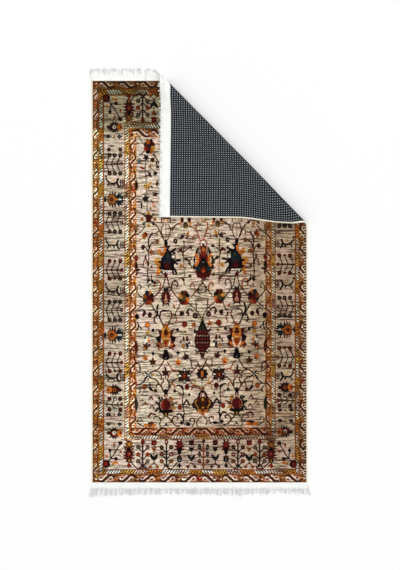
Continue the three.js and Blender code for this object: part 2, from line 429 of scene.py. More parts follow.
def diamonds(pen):
    """Two dark diamonds with pale spots beside a golden one."""
    for x in (-19, 22):
        pen.patch("black", [(x, 8), (x + 11, 0), (x, -8), (x - 11, 0)])
        pen.dot("grey", 4, 4, x, 0)
    pen.dot("olive", 9, 8)
    pen.dot("gold", 4, 4)


def tan_bar(pen):
    pen.line("tan", 3, [(-37, 4), (37, 4)])


def dog_bone(pen):
    """A bar with a fork at its outer end and a heavy crescent at its inner one, beside a ladder."""
    pen.curve("black", 6, [(30, 15), (19, 1), (4, -1), (-10, 1)])
    pen.line("black", 4.6, [(20, 0), (25, -13)])
    pen.curve("black", 7.4, [(-14, 15), (-9, 1), (-17, -14)])
    pen.leaf("black", 17, 6, 5, 1, 155)
    pen.leaf("olive", 11, 5, 12, 1, -150)
    pen.dot("yellow", 13, 8, 4, 12)
    pen.dot("ivory", 4, 4, 4, 12)
    pen.dot("maroon", 8, 10, 31, 24)
    for x in (-23, -29, -35):
        pen.line("plum", 3.4, [(x, 12), (x, -11)])
    pen.line("maroon", 2.6, [(-36, 1), (-21, 1)])
    pen.dot("gold", 7, 7, 32, -24)


def fan_palmette(pen, ring, glow):
    """A spiked fan towards the field and a big round flower towards the rug's side."""
    for i, turn in enumerate((22, 42, 62, 80, 100, 118, 138, 158)):
        pen.leaf("teal" if i % 2 else "black", 33, 9.5, -8, 0, turn)
    for x, length in ((0, 36), (9, 36), (18, 30)):
        for turn in (6, 174):
            pen.leaf("black", length, 8, x, 0, turn)
            pen.leaf("maroon", length * 0.75, 4, x, 0, turn)
    pen.dot("teal", 28, 36, -16, 0)
    pen.leaf("ivory", 17, 8, -12, 0, 90)
    pen.dot("black", 36, 43, 9, 0)
    pen.dot(ring, 32, 39, 9, 0)
    pen.dot(glow, 25, 30, 10, 0)
    pen.dot(ring, 19, 23, 10, 0)
    pen.dot("maroon", 11, 13, 10, 0)
    pen.dot("pink", 4, 4, 9, 0)
    pen.leaf("orange", 13, 11, -2, 0, 90)
    pen.dot("black", 9, 21, 33, 0)
    pen.dot("teal", 4, 12, 33, 0)


def star_palmette(pen, ring, core, inner, outer):
    """Dark points round a bright middle, with lobes to one side and a small tip to the other."""
    for turn in range(0, 360, 30):
        pen.leaf("black", 25, 8.5, 0, 0, turn + 15)
    pen.dot("black", 34, 33)
    pen.dot(ring, 23, 24)
    pen.dot(core, 14, 15)
    pen.dot("maroon", 6, 7)
    for way, yarn in ((-1, inner), (1, outer)):
        if yarn == "orange":
            for turn in (-34, 0, 34):
                pen.leaf(yarn, 24, 14, way * 9, 0, turn - way * 90)
            pen.dot("red", 8, 10, way * 23, 0)
        else:
            pen.leaf(yarn, 22, 13, way * 9, 0, way * -90)
            pen.dot("black", 8, 10, way * 23, 0)


def berry_tree(pen, berries, stem):
    """A stem on two feet, with a red fruit at its top and berries in pairs at its sides."""
    for level, (edge, yarn, core) in zip((25, -1, -26), berries):
        for half in pen.halves():
            half.line(stem, 4.6, [(0, level - 20), (16, level - 2)])
            berry(half, edge, yarn, core, 17.5, level, 16.5, 17.5)
    pen.line(stem, 6, [(0, 40), (0, -40)])
    for x in (-12, 12):
        pen.line(stem, 4.6, [(0, -38), (x, -53)])
    berry(pen, "maroon", "red", berries[1][2], 0, 45, 15, 20)


def middle_tree(pen):
    """The tree of the middle line: a golden stem with tall dark fruits."""
    for level in (24, -2, -28):
        pen.curve("umber", 3.6, [(0, level - 14), (7, level - 7), (13, level + 4)])
        pen.curve("umber", 3.6, [(0, level - 14), (-7, level - 7), (-13, level + 4)])
    pen.line("rust", 6.4, [(0, 46), (0, -53)])
    pen.line("umber", 2.6, [(0, 30), (0, -48)])
    for level, height, yarn in ((26, 22, "charcoal"), (0, 18, "plum"), (-26, 18, "red")):
        for x in (-15, 15):
            berry(pen, "black", yarn, "pink", x, level, 12.5, height)
    pen.dot("black", 12, 14, 0, 48)


def tulip_stack(pen, top, heart, cup, feet):
    """A fruit over a heart over a tulip, on a thin stem with two feet."""
    pen.line("stone", 2.6, [(0, 34), (0, -36)])
    pen.shield("maroon", [(10, 52), (9, 33)])
    pen.dot(top, 12, 12, 0, 41)
    pen.shield(heart, [(0, 24), (12, 29), (7, 17), (0, 7)])
    pen.shield(cup, [(0, -13), (7, -2), (16, 1), (12, -15), (0, -27)])
    pen.leaf("teal", 15, 7, 0, -22)
    for half in pen.halves():
        half.line("maroon", 3.4, [(0, -27), (0, -32), (10, -41)])
        half.leaf(feet, 14, 14, 13, -53)
        half.dot("rust", 5, 5, 13, -47)
    pen.dot("ivory", 8, 10, 0, -47)


def tall_palmette(pen):
    """A jagged crown, a dark collar, a jagged red body and a pear on a red foot."""
    for y, turn in ((38, 24), (32, 48), (25, 74)):
        pair(pen, "brown", "gold", 3, y, 18, 9, turn)
    pen.leaf("brown", 19, 10, 0, 34)
    pen.dot("brown", 22, 27, 0, 30)
    pen.dot("umber", 18, 23, 0, 31)
    pen.dot("gold", 8, 11, 0, 35)
    for y, turn in ((12, 50), (4, 68), (-5, 84), (-12, 104)):
        pair(pen, "maroon", "red", 5, y, 19, 9, turn)
    pen.dot("black", 27, 36, 0, 1)
    pen.dot("maroon", 23, 32, 0, 0)
    pen.dot("red", 13, 22, 0, -1)
    pen.dot("pink", 4, 4, 0, 1)
    pen.dot("black", 14, 15, 0, 19)
    pen.dot("black", 21, 25, 0, -21)
    pen.dot("brown", 15, 19, 0, -20)
    pen.dot("gold", 8, 9, 0, -25)
    pen.shield("red", [(0, -30), (5, -37), (12, -51), (5, -46), (0, -54)])
    pen.curve("plum", 4.2, [(-7, -29), (-18, -41), (-30, -53), (-46, -53), (-56, -46)])


def dark_palmette(pen):
    """A jagged maroon crown on a black neck, over a dark pear on a black foot."""
    for y, turn in ((38, 20), (32, 46), (25, 72), (18, 92)):
        pair(pen, "maroon", "red", 2, y, 19, 9, turn)
    pen.dot("maroon", 20, 34, 0, 28)
    pen.dot("red", 9, 16, 0, 34)
    pen.dot("black", 16, 28, 0, 12)
    pen.dot("black", 21, 28, 0, -17)
    pen.dot("brown", 12, 12, 0, -10)
    pen.dot("grey", 7, 12, 0, -21)
    pen.shield("black", [(0, -30), (5, -38), (11, -50), (5, -46), (0, -53)])
    pen.curve("plum", 4, [(7, -30), (18, -42), (29, -53), (42, -53), (48, -45)])


def corner_plant(pen):
    """Thin dark branches with single fruits, rising to the rug's inner side from one big fruit."""
    pen.curve("charcoal", 4.6, [(22, -25), (13, -15), (-4, 7), (-13, 24), (-20, 36)])
    pen.line("charcoal", 4, [(14, -14), (15, 8)])
    pen.line("charcoal", 4, [(12, -16), (-4, -16)])
    pen.line("olive", 3, [(20, -24), (8, -32)])
    pen.line("stone", 2.4, [(-2, 8), (0, 30)])
    pen.line("stone", 2.4, [(-4, 8), (-20, 9)])
    pen.line("stone", 2.2, [(14, -8), (27, -6)])
    pen.curve("stone", 2, [(20, 26), (28, 31), (31, 24), (26, 20)])
    pen.dot("black", 17, 15, -22, 41)
    pen.dot("maroon", 7, 7, -22, 41)
    pen.dot("black", 12, 14, 16, 14)
    pen.dot("black", 14, 15, -6, -17)
    pen.dot("maroon", 6, 8, -6, -17)
    pen.leaf("rust", 13, 11, 0, 28)
    pen.dot("rust", 10, 11, -23, 9)
    pen.leaf("orange", 13, 12, 28, -13)
    pen.leaf("orange", 17, 12, 2, -30, 100)
    pen.dot("gold", 11, 10, 4, -35)
    pen.dot("black", 28, 31, 30, -36)
    pen.dot("maroon", 22, 25, 31, -36)
    pen.dot("red", 12, 13, 31, -37)
    pen.leaf("black", 15, 9, 18, -46, -20)


# Motifs of the field
def dark_star(pen):
    """Eight dark petals round an orange slit."""
    for turn in range(0, 360, 90):
        pen.leaf("black", 25, 17.5, 0, 0, turn)
        pen.leaf("maroon", 25, 17.5, 0, 0, turn + 45)
    pen.dot("black", 27, 34)
    pen.dot("orange", 10, 24)
    pen.dot("rust", 5, 8, 0, 2)


def golden_drop(pen):
    pen.dot("gold", 17, 24)
    pen.dot("ivory", 8, 13)


def low_buds(pen):
    """Two orange buds beside a brown one, with dark ones over them."""
    for x, yarn in ((-14, "orange"), (0, "umber"), (14, "orange")):
        pen.dot(yarn, 18, 14, x, -2)
    pen.dot("maroon", 20, 9, -6, 7)
    pen.dot("black", 10, 8, 3, 7)


def low_eye(pen):
    """A grey bud with a white spot between two black ones."""
    pen.dot("black", 15, 13, 12, 2)
    pen.dot("black", 18, 12, -12, -3)
    pen.dot("grey", 13, 12)
    pen.dot("ivory", 6, 6, 0, 2)


def gold_star(pen):
    """A dark maroon core with golden, orange and olive petals, the lower slanting ones black at the tip."""
    for turn in (45, -45, 135, -135):
        pen.leaf("brown" if abs(turn) < 90 else "stone", 33, 9, 0, 0, turn)
        pen.moved(0, 0, turn).dot("olive" if abs(turn) < 90 else "black", 9, 11, 0, 26)
    for turn, yarn in ((0, "gold"), (90, "rust"), (-90, "rust"), (180, "gold")):
        pen.moved(0, 0, turn).dot(yarn, 12, 16, 0, 22)
    for x in (-15, 15):
        pen.dot("cream", 6, 10, x, 1)
    pen.dot("maroon", 20, 26)
    pen.dot("plum", 16, 10, 0, 14)


def spider_star(pen):
    """A small pale heart with four black arms and four golden tips."""
    for turn in (45, -45, 135, -135):
        pen.leaf("black", 24, 7, 0, 0, turn)
    for turn in (0, 90, -90, 180):
        pen.moved(0, 0, turn).dot("gold", 7, 9, 0, 17)
        pen.moved(0, 0, turn).dot("brown", 4, 4, 0, 12)
    pen.dot("grey", 9, 10)


def block_flower(pen, petals, core):
    """Broad petals close together, each of its own yarn."""
    for i, yarn in enumerate(petals):
        angle = 2 * math.pi * (i + 0.5) / len(petals)
        pen.dot(yarn, 17, 20, -math.sin(angle) * 13.5, math.cos(angle) * 19)
    pen.dot(core, 16, 22)


def tulip_bloom(pen):
    """Two maroon lobes beside a pale heart, orange below, on a golden drop."""
    for half in pen.halves():
        half.dot("brown", 13, 24, 13, 12)
        half.dot("maroon", 7, 14, 13, 14)
        half.leaf("orange", 18, 9, 15, -12, -14)
    pen.dot("ivory", 11, 14, 0, 16)
    pen.dot("grey", 4, 5, 0, 14)
    pen.line("brown", 3.4, [(-22, -13), (-10, -15), (10, -15), (22, -13)])
    pen.dot("brown", 19, 26, 0, -8)
    pen.dot("olive", 14, 21, 0, -8)
    pen.dot("gold", 5, 6, 0, -16)


def eight_petals(pen):
    """A square flower of dark petals with white drops at its four points."""
    for turn in (45, -45, 135, -135):
        pen.leaf("black", 31, 20, 0, 0, turn)
        pen.leaf("brown", 22, 14, 0, 0, turn)
    for turn, reach in ((0, 21), (180, 21), (90, 17), (-90, 17)):
        point = pen.moved(0, 0, turn)
        point.dot("black", 13, 19, 0, reach)
        point.dot("ivory", 6.5, 11, 0, reach)
    pen.dot("maroon", 17, 20)
    pen.dot("rust", 8, 9)


def maple_leaf(pen, yarn, size):
    """A leaf of five points on a short stalk."""
    for turn, share in ((0, 0.75), (62, 0.6), (-62, 0.6), (128, 0.5), (-128, 0.5)):
        pen.leaf(yarn, size * share, size * 0.34, 0, 0, turn)
    pen.line(yarn, 3, [(0, 0), (0, -size * 0.55)])


def beak_leaf(pen, yarn, size):
    """A heavy leaf that bends over into a point, on a thin stalk."""
    s = size / 24
    pen.patch(yarn, [(-2 * s, -10 * s), (3 * s, 0), (9 * s, 7 * s), (17 * s, 8 * s), (24 * s, 3 * s),
                     (18 * s, 13 * s), (8 * s, 13 * s), (0, 9 * s), (-6 * s, 2 * s)])
    pen.line(yarn, 3, [(-2 * s, -8 * s), (-2 * s, -18 * s)])


def lyre(pen):
    """A frame at the top of three strings that meet in a dark knot."""
    for half in pen.halves():
        half.curve("brown", 4, [(9, 64), (16, 46), (15, 30), (8, 10), (0, -2)])
        half.line("brown", 4.4, [(16, 68), (17, 90)])
    pen.line("stone", 2.6, [(-11, 64), (11, 62)])
    pen.line("charcoal", 2.4, [(0, 66), (0, 6)])
    pen.shield("gold", [(11, 84), (8, 70)])
    pen.shield("cream", [(5, 82), (4, 70)])
    pen.line("maroon", 6, [(-13, 86), (13, 86)])
    pen.dot("black", 13, 26, 0, -6)


def bell_palmette(pen):
    """A dark bell with flames towards the rug's side, spikes inwards and a pale crown below."""
    pen.curve("orange", 9, [(8, 56), (6, 46), (8, 34), (14, 22)])
    pen.patch("orange", [(34, 45), (24, 43), (17, 34), (12, 20), (20, 17), (26, 22), (34, 28)])
    pen.dot("yellow", 6, 8, 28, 33)
    pen.patch("yellow", [(49, 0), (39, 13), (26, 12), (20, -3), (36, -11)])
    pen.curve("orange", 13, [(36, -8), (28, -12), (26, -20), (31, -27), (29, -36), (33, -48)])
    pen.curve("gold", 5, [(33, -10), (25, -18), (29, -29)])
    pen.dot("gold", 12, 14, 26, -33)
    pen.patch("black", [
        (-3, 44), (8, 27), (19, 12), (24, -4), (22, -28), (10, -34), (-20, -34), (-30, -23), (-28, -6),
        (-26, 9), (-22, 24), (-14, 36)])
    for spike in (
        [(-4, 30), (-18, 34), (-31, 45)], [(-17, 37), (-30, 28)], [(-1, 42), (-10, 56)],
        [(-20, -4), (-34, 0), (-48, 3)], [(-24, -2), (-32, -6), (-38, -12)],
        [(-22, -24), (-22, -34), (-25, -46)], [(-22, -24), (-32, -34), (-36, -46)],
        [(19, -40), (12, -46), (6, -44)], [(18, -4), (29, -3)], [(18, -28), (26, -24)],
    ):
        pen.line("black", 8, spike)
    pen.patch("teal", [(-5, 34), (6, 19), (16, 5), (14, -6), (-14, -5), (-20, 12)])
    pen.dot("navy", 16, 18, 8, 4)
    pen.dot("green", 11, 14, -4, 18)
    pen.dot("plum", 26, 14, -2, -9)
    pen.patch("maroon", [(12, -17), (-2, -14), (-20, -26), (6, -27)])
    pen.curve("olive", 4, [(-17, 22), (-26, 24), (-32, 16), (-29, 4)])
    pen.dot("ivory", 9, 14, -24, 14)
    pen.dot("cream", 9, 13, -31, -17)
    for x, y in ((2, -37), (11, -41), (-8, -41)):
        pen.dot("ivory", 7, 8, x, y)
    pen.dot("maroon", 13, 17, 3, -53)
    pen.dot("plum", 5, 20, -2, 44)
    pen.dot("black", 10, 20, 1, 60)


def winged_palmette(pen):
    """The big flower of the middle line: white eyes, maroon breast, flames and dark skirts."""
    pen.shield("charcoal", [(12, -4), (20, -25), (41, -36), (38, -46), (29, -50), (27, -64), (12, -72)])
    for half in pen.halves():
        half.curve("black", 8.4, [(10, 33), (20, 25), (25, 10), (24, -4)])
        half.curve("black", 5, [(29, 2), (33, -14), (31, -30)])
        half.patch("stone", [(11, 30), (18, 24), (22, 8), (13, 4)])
        half.curve("orange", 10, [(28, 3), (22, -8), (20, -20), (27, -36)])
        half.line("red", 7, [(13, 2), (13, -18)])
        half.curve("umber", 4, [(45, -42), (34, -50), (27, -64)])
        half.dot("teal", 15, 19, 20, -48)
        half.dot("black", 7, 9, 33, -44)
    pen.shield("maroon", [(11, 36), (15, 14), (12, -8)])
    pen.shield("orange", [(0, 33), (8, 23), (0, 14)])
    pen.shield("red", [(0, 16), (10, 6), (0, -5)])
    pen.dot("black", 21, 26, 0, -20)
    pen.dot("grey", 7, 5, 0, -24)
    pen.shield("maroon", [(0, -64), (10, -68), (20, -61), (27, -66), (22, -82), (11, -79), (5, -93)])
    pen.dot("maroon", 22, 29, 0, -55)
    pen.dot("red", 14, 20, 0, -56)
    pen.dot("orange", 6, 9, 0, -58)
    pen.dot("pink", 4, 7, 0, -84)
    for x in (-13, 13):
        pen.line("pink", 3, [(x, 42), (x, 22), (x * 0.8, 10)])
        pen.dot("gold", 5, 5, x * 0.4, 19)
    pen.curve("rust", 4.4, [(-12, 38), (-12, 50), (0, 60), (12, 50), (12, 38)])
    pen.dot("ivory", 7, 14, 0, 50)
    for x in (-7, 7):
        pen.dot("ivory", 6, 9, x, 42)
    pen.dot("green", 10, 15, 0, 38)


def jagged_palmette(pen, body, edge, core):
    """A narrow flower with a jagged outline and a pale middle."""
    for i, turn in enumerate((-14, -40, -68, -95, -126, -155)):
        for side in (-1, 1):
            pen.leaf(edge, 34 if i in (0, 5) else 23, 9, 0, (8, 4, 0, -6, -8, -6)[i], side * turn)
    pen.leaf(edge, 46, 20, 0, -12)
    pen.dot("plum", 33, 54, 0, -2)
    pen.dot(body, 27, 46, 0, -3)
    pen.leaf(core, 34, 7, 0, -18)
    pen.dot(core, 14, 18, 0, -14)
    pen.dot("rust", 7, 10, 0, -16)


def arch_palmette(pen):
    """The tall orange flower: a golden arch, a white V, dark leaves and a black base with rings."""
    for half in pen.halves():
        half.leaf("maroon", 36, 14, 10, 10, -32)
        half.line("maroon", 4, [(16, 36), (36, 37)])
        half.patch("maroon", [(14, 34), (24, 30), (25, 2), (14, -2)])
        half.patch("black", [(14, 8), (26, 14), (38, 8), (32, -8), (16, -6)])
        half.patch("maroon", [(10, -2), (24, -4), (38, -24), (26, -30), (12, -34)])
        half.dot("red", 17, 17, 21, -14)
        half.leaf("maroon", 32, 18, 6, -26, -52)
        half.leaf("orange", 26, 14, 8, -28, -52)
        half.leaf("red", 12, 7, 22, -38, -52)
    pen.leaf("rust", 42, 28, 0, 20)
    pen.dot("gold", 30, 40, 0, 28)
    pen.dot("maroon", 14, 32, 0, 26)
    pen.shield("orange", [(8, 18), (17, 26), (14, -16), (0, -40)])
    pen.line("maroon", 3, [(-9, 24), (0, 10), (9, 24)])
    pen.dot("yellow", 18, 10, 0, 5)
    for yarn, width in (("pink", 6.6), ("ivory", 3.4)):
        pen.line(yarn, width, [(-16, 2), (-13, -18), (0, -38), (13, -18), (16, 2)])
    pen.shield("rust", [(9, 0), (7, -16), (0, -26)])
    pen.dot("red", 8, 12, 0, -11)
    pen.shield("black", [(6, -36), (10, -52), (18, -64), (8, -76)])
    pen.dot("stone", 5, 8, 0, -68)
    for x in (-19, 19):
        berry(pen, "stone", "charcoal", "cream", x, -60, 14, 17)


def pineapple(pen):
    """A green top over a dark maroon fruit that is crossed by rows of pink dashes."""
    for half in pen.halves():
        half.curve("black", 5, [(18, 24), (24, 22), (30, 32)])
        half.curve("charcoal", 5, [(10, -52), (20, -52), (26, -46)])
    pen.leaf("olive", 72, 18, 0, 10)
    pen.leaf("black", 62, 34, 0, 2)
    pen.leaf("green", 38, 20, 0, 14)
    pen.shield("plum", [(16, 26), (27, 8), (30, -14), (26, -34), (12, -50), (6, -74)])
    for y, count in ((20, 3), (7, 5), (-6, 5), (-19, 5), (-32, 5), (-44, 3)):
        pen.line("maroon", 5, [(-5 * count, y + 1), (5 * count, y + 1)])
        pen.line("black", 3, [(-5 * count, y - 5), (5 * count, y - 5)])
        for i in range(count):
            x = (i - (count - 1) / 2) * 9.4
            pen.line("pink" if y in (7, -19) else "red", 2.6, [(x - 1.4, y - 2), (x + 1.4, y + 2)])
    pen.line("pink", 2.6, [(-5, -55), (5, -55)])
    pen.line("brown", 3, [(-6, -64), (6, -64)])


def round_palmette(pen):
    """A deep red round flower in a pink line, with dark leaves outwards and golden ones inwards."""
    for turn, yarn in ((-48, "green"), (-80, "black"), (-112, "green"), (-138, "black"),
                       (48, "gold"), (80, "olive"), (112, "gold"), (134, "umber")):
        pen.leaf(yarn, 42, 13, 0, 0, turn)
        pen.leaf("charcoal" if turn < 0 else "brown", 34, 9, 0, 0, turn + 15)
    for x, yarn in ((18, "black"), (-18, "umber")):
        pen.dot("cream", 9, 13, x, 36)
        pen.dot(yarn, 9, 9, x * 0.8, 26)
    pen.dot("plum", 44, 50)
    pen.dot("pink", 42, 46)
    pen.dot("maroon", 37, 43)
    pen.dot("red", 20, 26, 6, 0)
    pen.dot("maroon", 13, 30, 2, 2)
    pen.shield("black", [(25, -18), (24, -28), (12, -30), (5, -44)])
    pen.dot("gold", 7, 11, 0, -35)
    pen.dot("plum", 13, 30, 0, 36)
    pen.dot("pink", 5, 18, 0, 32)
    pen.dot("black", 14, 22, 0, 50)


def lantern_palmette(pen):
    """The lowest flower of the middle line: a dark bell with golden flames on a small orange cup."""
    pen.shield("black", [(0, 56), (15, 41), (19, 26), (32, 15), (41, -3), (35, -19), (19, -28)])
    pen.shield("brown", [(0, 38), (12, 16), (16, -12), (0, -24)])
    for half in pen.halves():
        half.leaf("plum", 32, 13, 28, -14, 14)
        half.leaf("maroon", 24, 10, 17, 8, 8)
        half.curve("gold", 3.8, [(22, 16), (28, 4), (20, -7), (18, -20)])
        half.dot("plum", 9, 12, 34, -6)
        half.line("pink", 3.2, [(4, 42), (9, 26)])
        half.line("cream", 3.4, [(24, -23), (32, -15)])
        half.line("black", 3, [(6, 20), (9, -14)])
    pen.dot("ivory", 6, 12, 0, 34)
    pen.dot("gold", 9, 12, 0, 18)
    pen.dot("maroon", 9, 12, 0, 0)
    pen.dot("gold", 7, 7, 0, -12)
    pen.shield("orange", [(16, -18), (19, -27), (8, -33), (0, -45)])
    pen.dot("maroon", 15, 8, 0, -24)
    pen.dot("brown", 6, 7, 0, -35)
    pen.dot("umber", 11, 16, 0, 58)


def edge_leaf(pen, body, heart, height):
    """A dark pointed leaf that stands against the field's side, with a golden line beside it."""
    pen.leaf(body, height, 15, 0, -height / 2)
    pen.leaf(heart, height * 0.6, 7, 0, -height * 0.35)
    pen.line("gold", 2.6, [(-9, height * 0.3), (-10, -height * 0.3)])


# The layout. Places are in millimetres, across and along the rug from the middle of the face.
# Widths of the border's bands at each side of the face, from its edge inwards
BANDS = (
    # kind, ground, left, right, bottom, top
    ("vine", "umber", 21, 25, 29, 27),
    ("barber", "copper", 21, 17, 20, 27),
    ("main", "cream", 75, 71, 109, 98),
    ("barber", "tan", 20, 17, 17, 26),
    ("vine", "copper", 24, 21, 28, 30),
)

# The bars of the two barber bands, which are mirrored at some place along the rug's ends. Edges and
# lines are shares of a band's width, and a slope is how far a bar runs on over one millimetre of it.
BARBER = {"pitch": 10.2, "light share": 0.52, "line": 1.3, "lights in a row": 5, "darks in a row": 4}
BARBER_EDGE = {"side": 0.24, "end": 0.2}
BARBER_SLOPE = {"side": 0.9, "end": 0.75}
BARBER_LINES = (0.03, 0.97)
BARBER_LIGHTS = {
    1: ("ivory", "yellow", "cream", "orange", "ivory", "cream", "gold"),
    3: ("ivory", "yellow", "cream", "ivory", "cream", "ivory", "pink", "ivory"),
}
BARBER_DARKS = ("black", "charcoal", "black", "black", "brown")
BARBER_MIRRORS = {1: 9, 3: -56}

# The running vine, whose waves and blooms are drawn for a band of some width
VINE = {"pitch": 70, "width": 30}
VINE_BLOOMS = (("copper", "cream"), ("rust", "yellow"), ("red", "pink"), ("umber", "cream"))
FACE_HALVES = np.array([-1, 1, -1, 1]) * np.array([FACE_WIDTH, FACE_WIDTH, FACE_LENGTH, FACE_LENGTH]) / 2

# Plants of the side borders, drawn with x towards the rug's side, and those of both ends
SIDE_PLANTS = {
    "branch": (berry_branch, 32, 35, ("plum", "charcoal", "plum"), ("stone",) * 3, "plum", "black"),
    "low branch": (
        berry_branch, 21, 19, ("maroon", "ivory", "maroon"), ("red", "charcoal", "red"), "olive"),
    "rust branch": (
        berry_branch, 33, 32, ("maroon", "brown", "maroon"), ("red", "umber", "rust"), "plum", "maroon"),
    "berry pair": (berry_pair,),
    "dog bone": (dog_bone,),
    "fan palmette": (fan_palmette, "rust", "orange"),
    "gold fan palmette": (fan_palmette, "umber", "gold"),
    "star palmette": (star_palmette, "maroon", "ivory", "orange", "maroon"),
    "dark palmette": (star_palmette, "brown", "rust", "maroon", "orange"),
    "diamond palmette": (star_palmette, "red", "ivory", "orange", "maroon"),
    "diamonds": (diamonds,),
    "tan bar": (tan_bar,),
}
PLUM_BERRIES = ("charcoal", "stone", "plum")
END_PLANTS = {
    "corner": (corner_plant,),
    "tall palmette": (tall_palmette,),
    "dark palmette": (dark_palmette,),
    "berry tree": (berry_tree, (PLUM_BERRIES, ("red", "rust", "brown"), PLUM_BERRIES), "plum"),
    "ring tree": (
        berry_tree, (("black", "brown", "umber"), ("maroon", "red", "ivory"), ("brown", "umber", "rust")),
        "charcoal"),
    "tulips": (tulip_stack, "red", "umber", "black", "rust"),
    "dark tulips": (tulip_stack, "plum", "black", "charcoal", "maroon"),
}

# Where the main border's middle runs: across on the left and the right, along at the bottom and the top
BORDER_ACROSS = (-314, 316)
BORDER_ALONG = (-636, 640)

# The side border from the bottom up
SIDE_BORDER = (
    # kind, along on the left, along on the right
    ("diamond palmette", -558, -553), ("diamonds", -525, -512), ("tan bar", -507, -490),
    ("diamonds", -490, -473), ("low branch", -453, -439), ("dark palmette", -399, -390),
    ("dog bone", -355, -350), ("rust branch", -298, -278), ("fan palmette", -197, -177),
    ("branch", -106, -91), ("dog bone", -34, -12), ("rust branch", 43, 64), ("dog bone", 135, 140),
    ("branch", 219, 240), ("gold fan palmette", 303, 322), ("dog bone", 364, 380),
    ("branch", 434, 450), ("berry pair", 487, 500), ("diamonds", 535, 545), ("star palmette", 570, 575),
)

# The bottom and top border from the corners to the middle
END_BORDER = (
    # kind, across on the left, across on the right
    ("corner", -314, 316), ("tall palmette", -260, 264), ("berry tree", -209, 222),
    ("tulips", -168, 183), ("ring tree", -122, 142), ("dark palmette", -74, 98),
    ("dark tulips", -30, 58),
)
MIDDLE_TREE = 15

# The field's flowers, each with the yarns it takes. Those of the first list stand on both sides of
# the middle line, at a place across from it.
FLOWERS = (
    # motif, across, along, yarns and sizes
    (block_flower, 194, 498, ("black", "maroon", "gold", "rust", "black", "red", "plum", "rust"), "plum"),
    (gold_star, 197, 230),
    (tulip_bloom, 60, 216),
    (lyre, 133, 148),
    (bell_palmette, 130, 76),
    (block_flower, 197, -60,
     ("orange", "charcoal", "maroon", "rust", "red", "green", "rust", "teal"), "maroon"),
    (block_flower, 66, -60,
     ("maroon", "black", "orange", "red", "maroon", "green", "gold", "brown"), "olive"),
    (jagged_palmette, 133, -57, "maroon", "charcoal", "pink"),
    (arch_palmette, 133, -214),
    (spider_star, 198, -345),
    (eight_petals, 65, -347),
    (round_palmette, 133, -455),
    (edge_leaf, 242, 356, "brown", "black", 46),
    (edge_leaf, 242, 86, "maroon", "red", 26),
    (edge_leaf, 242, 60, "brown", "black", 34),
    (edge_leaf, 242, -242, "maroon", "brown", 56),
    (edge_leaf, 242, -452, "charcoal", "green", 56),
    (low_buds, 192, -528),
    (low_eye, 63, -523),
)
MIDDLE_FLOWERS = (
    # motif, across, along
    (golden_drop, 15, 230),
    (winged_palmette, 14, 96),
    (pineapple, 11, -206),
    (dark_star, 10, -340),
    (lantern_palmette, 12, -452),
)

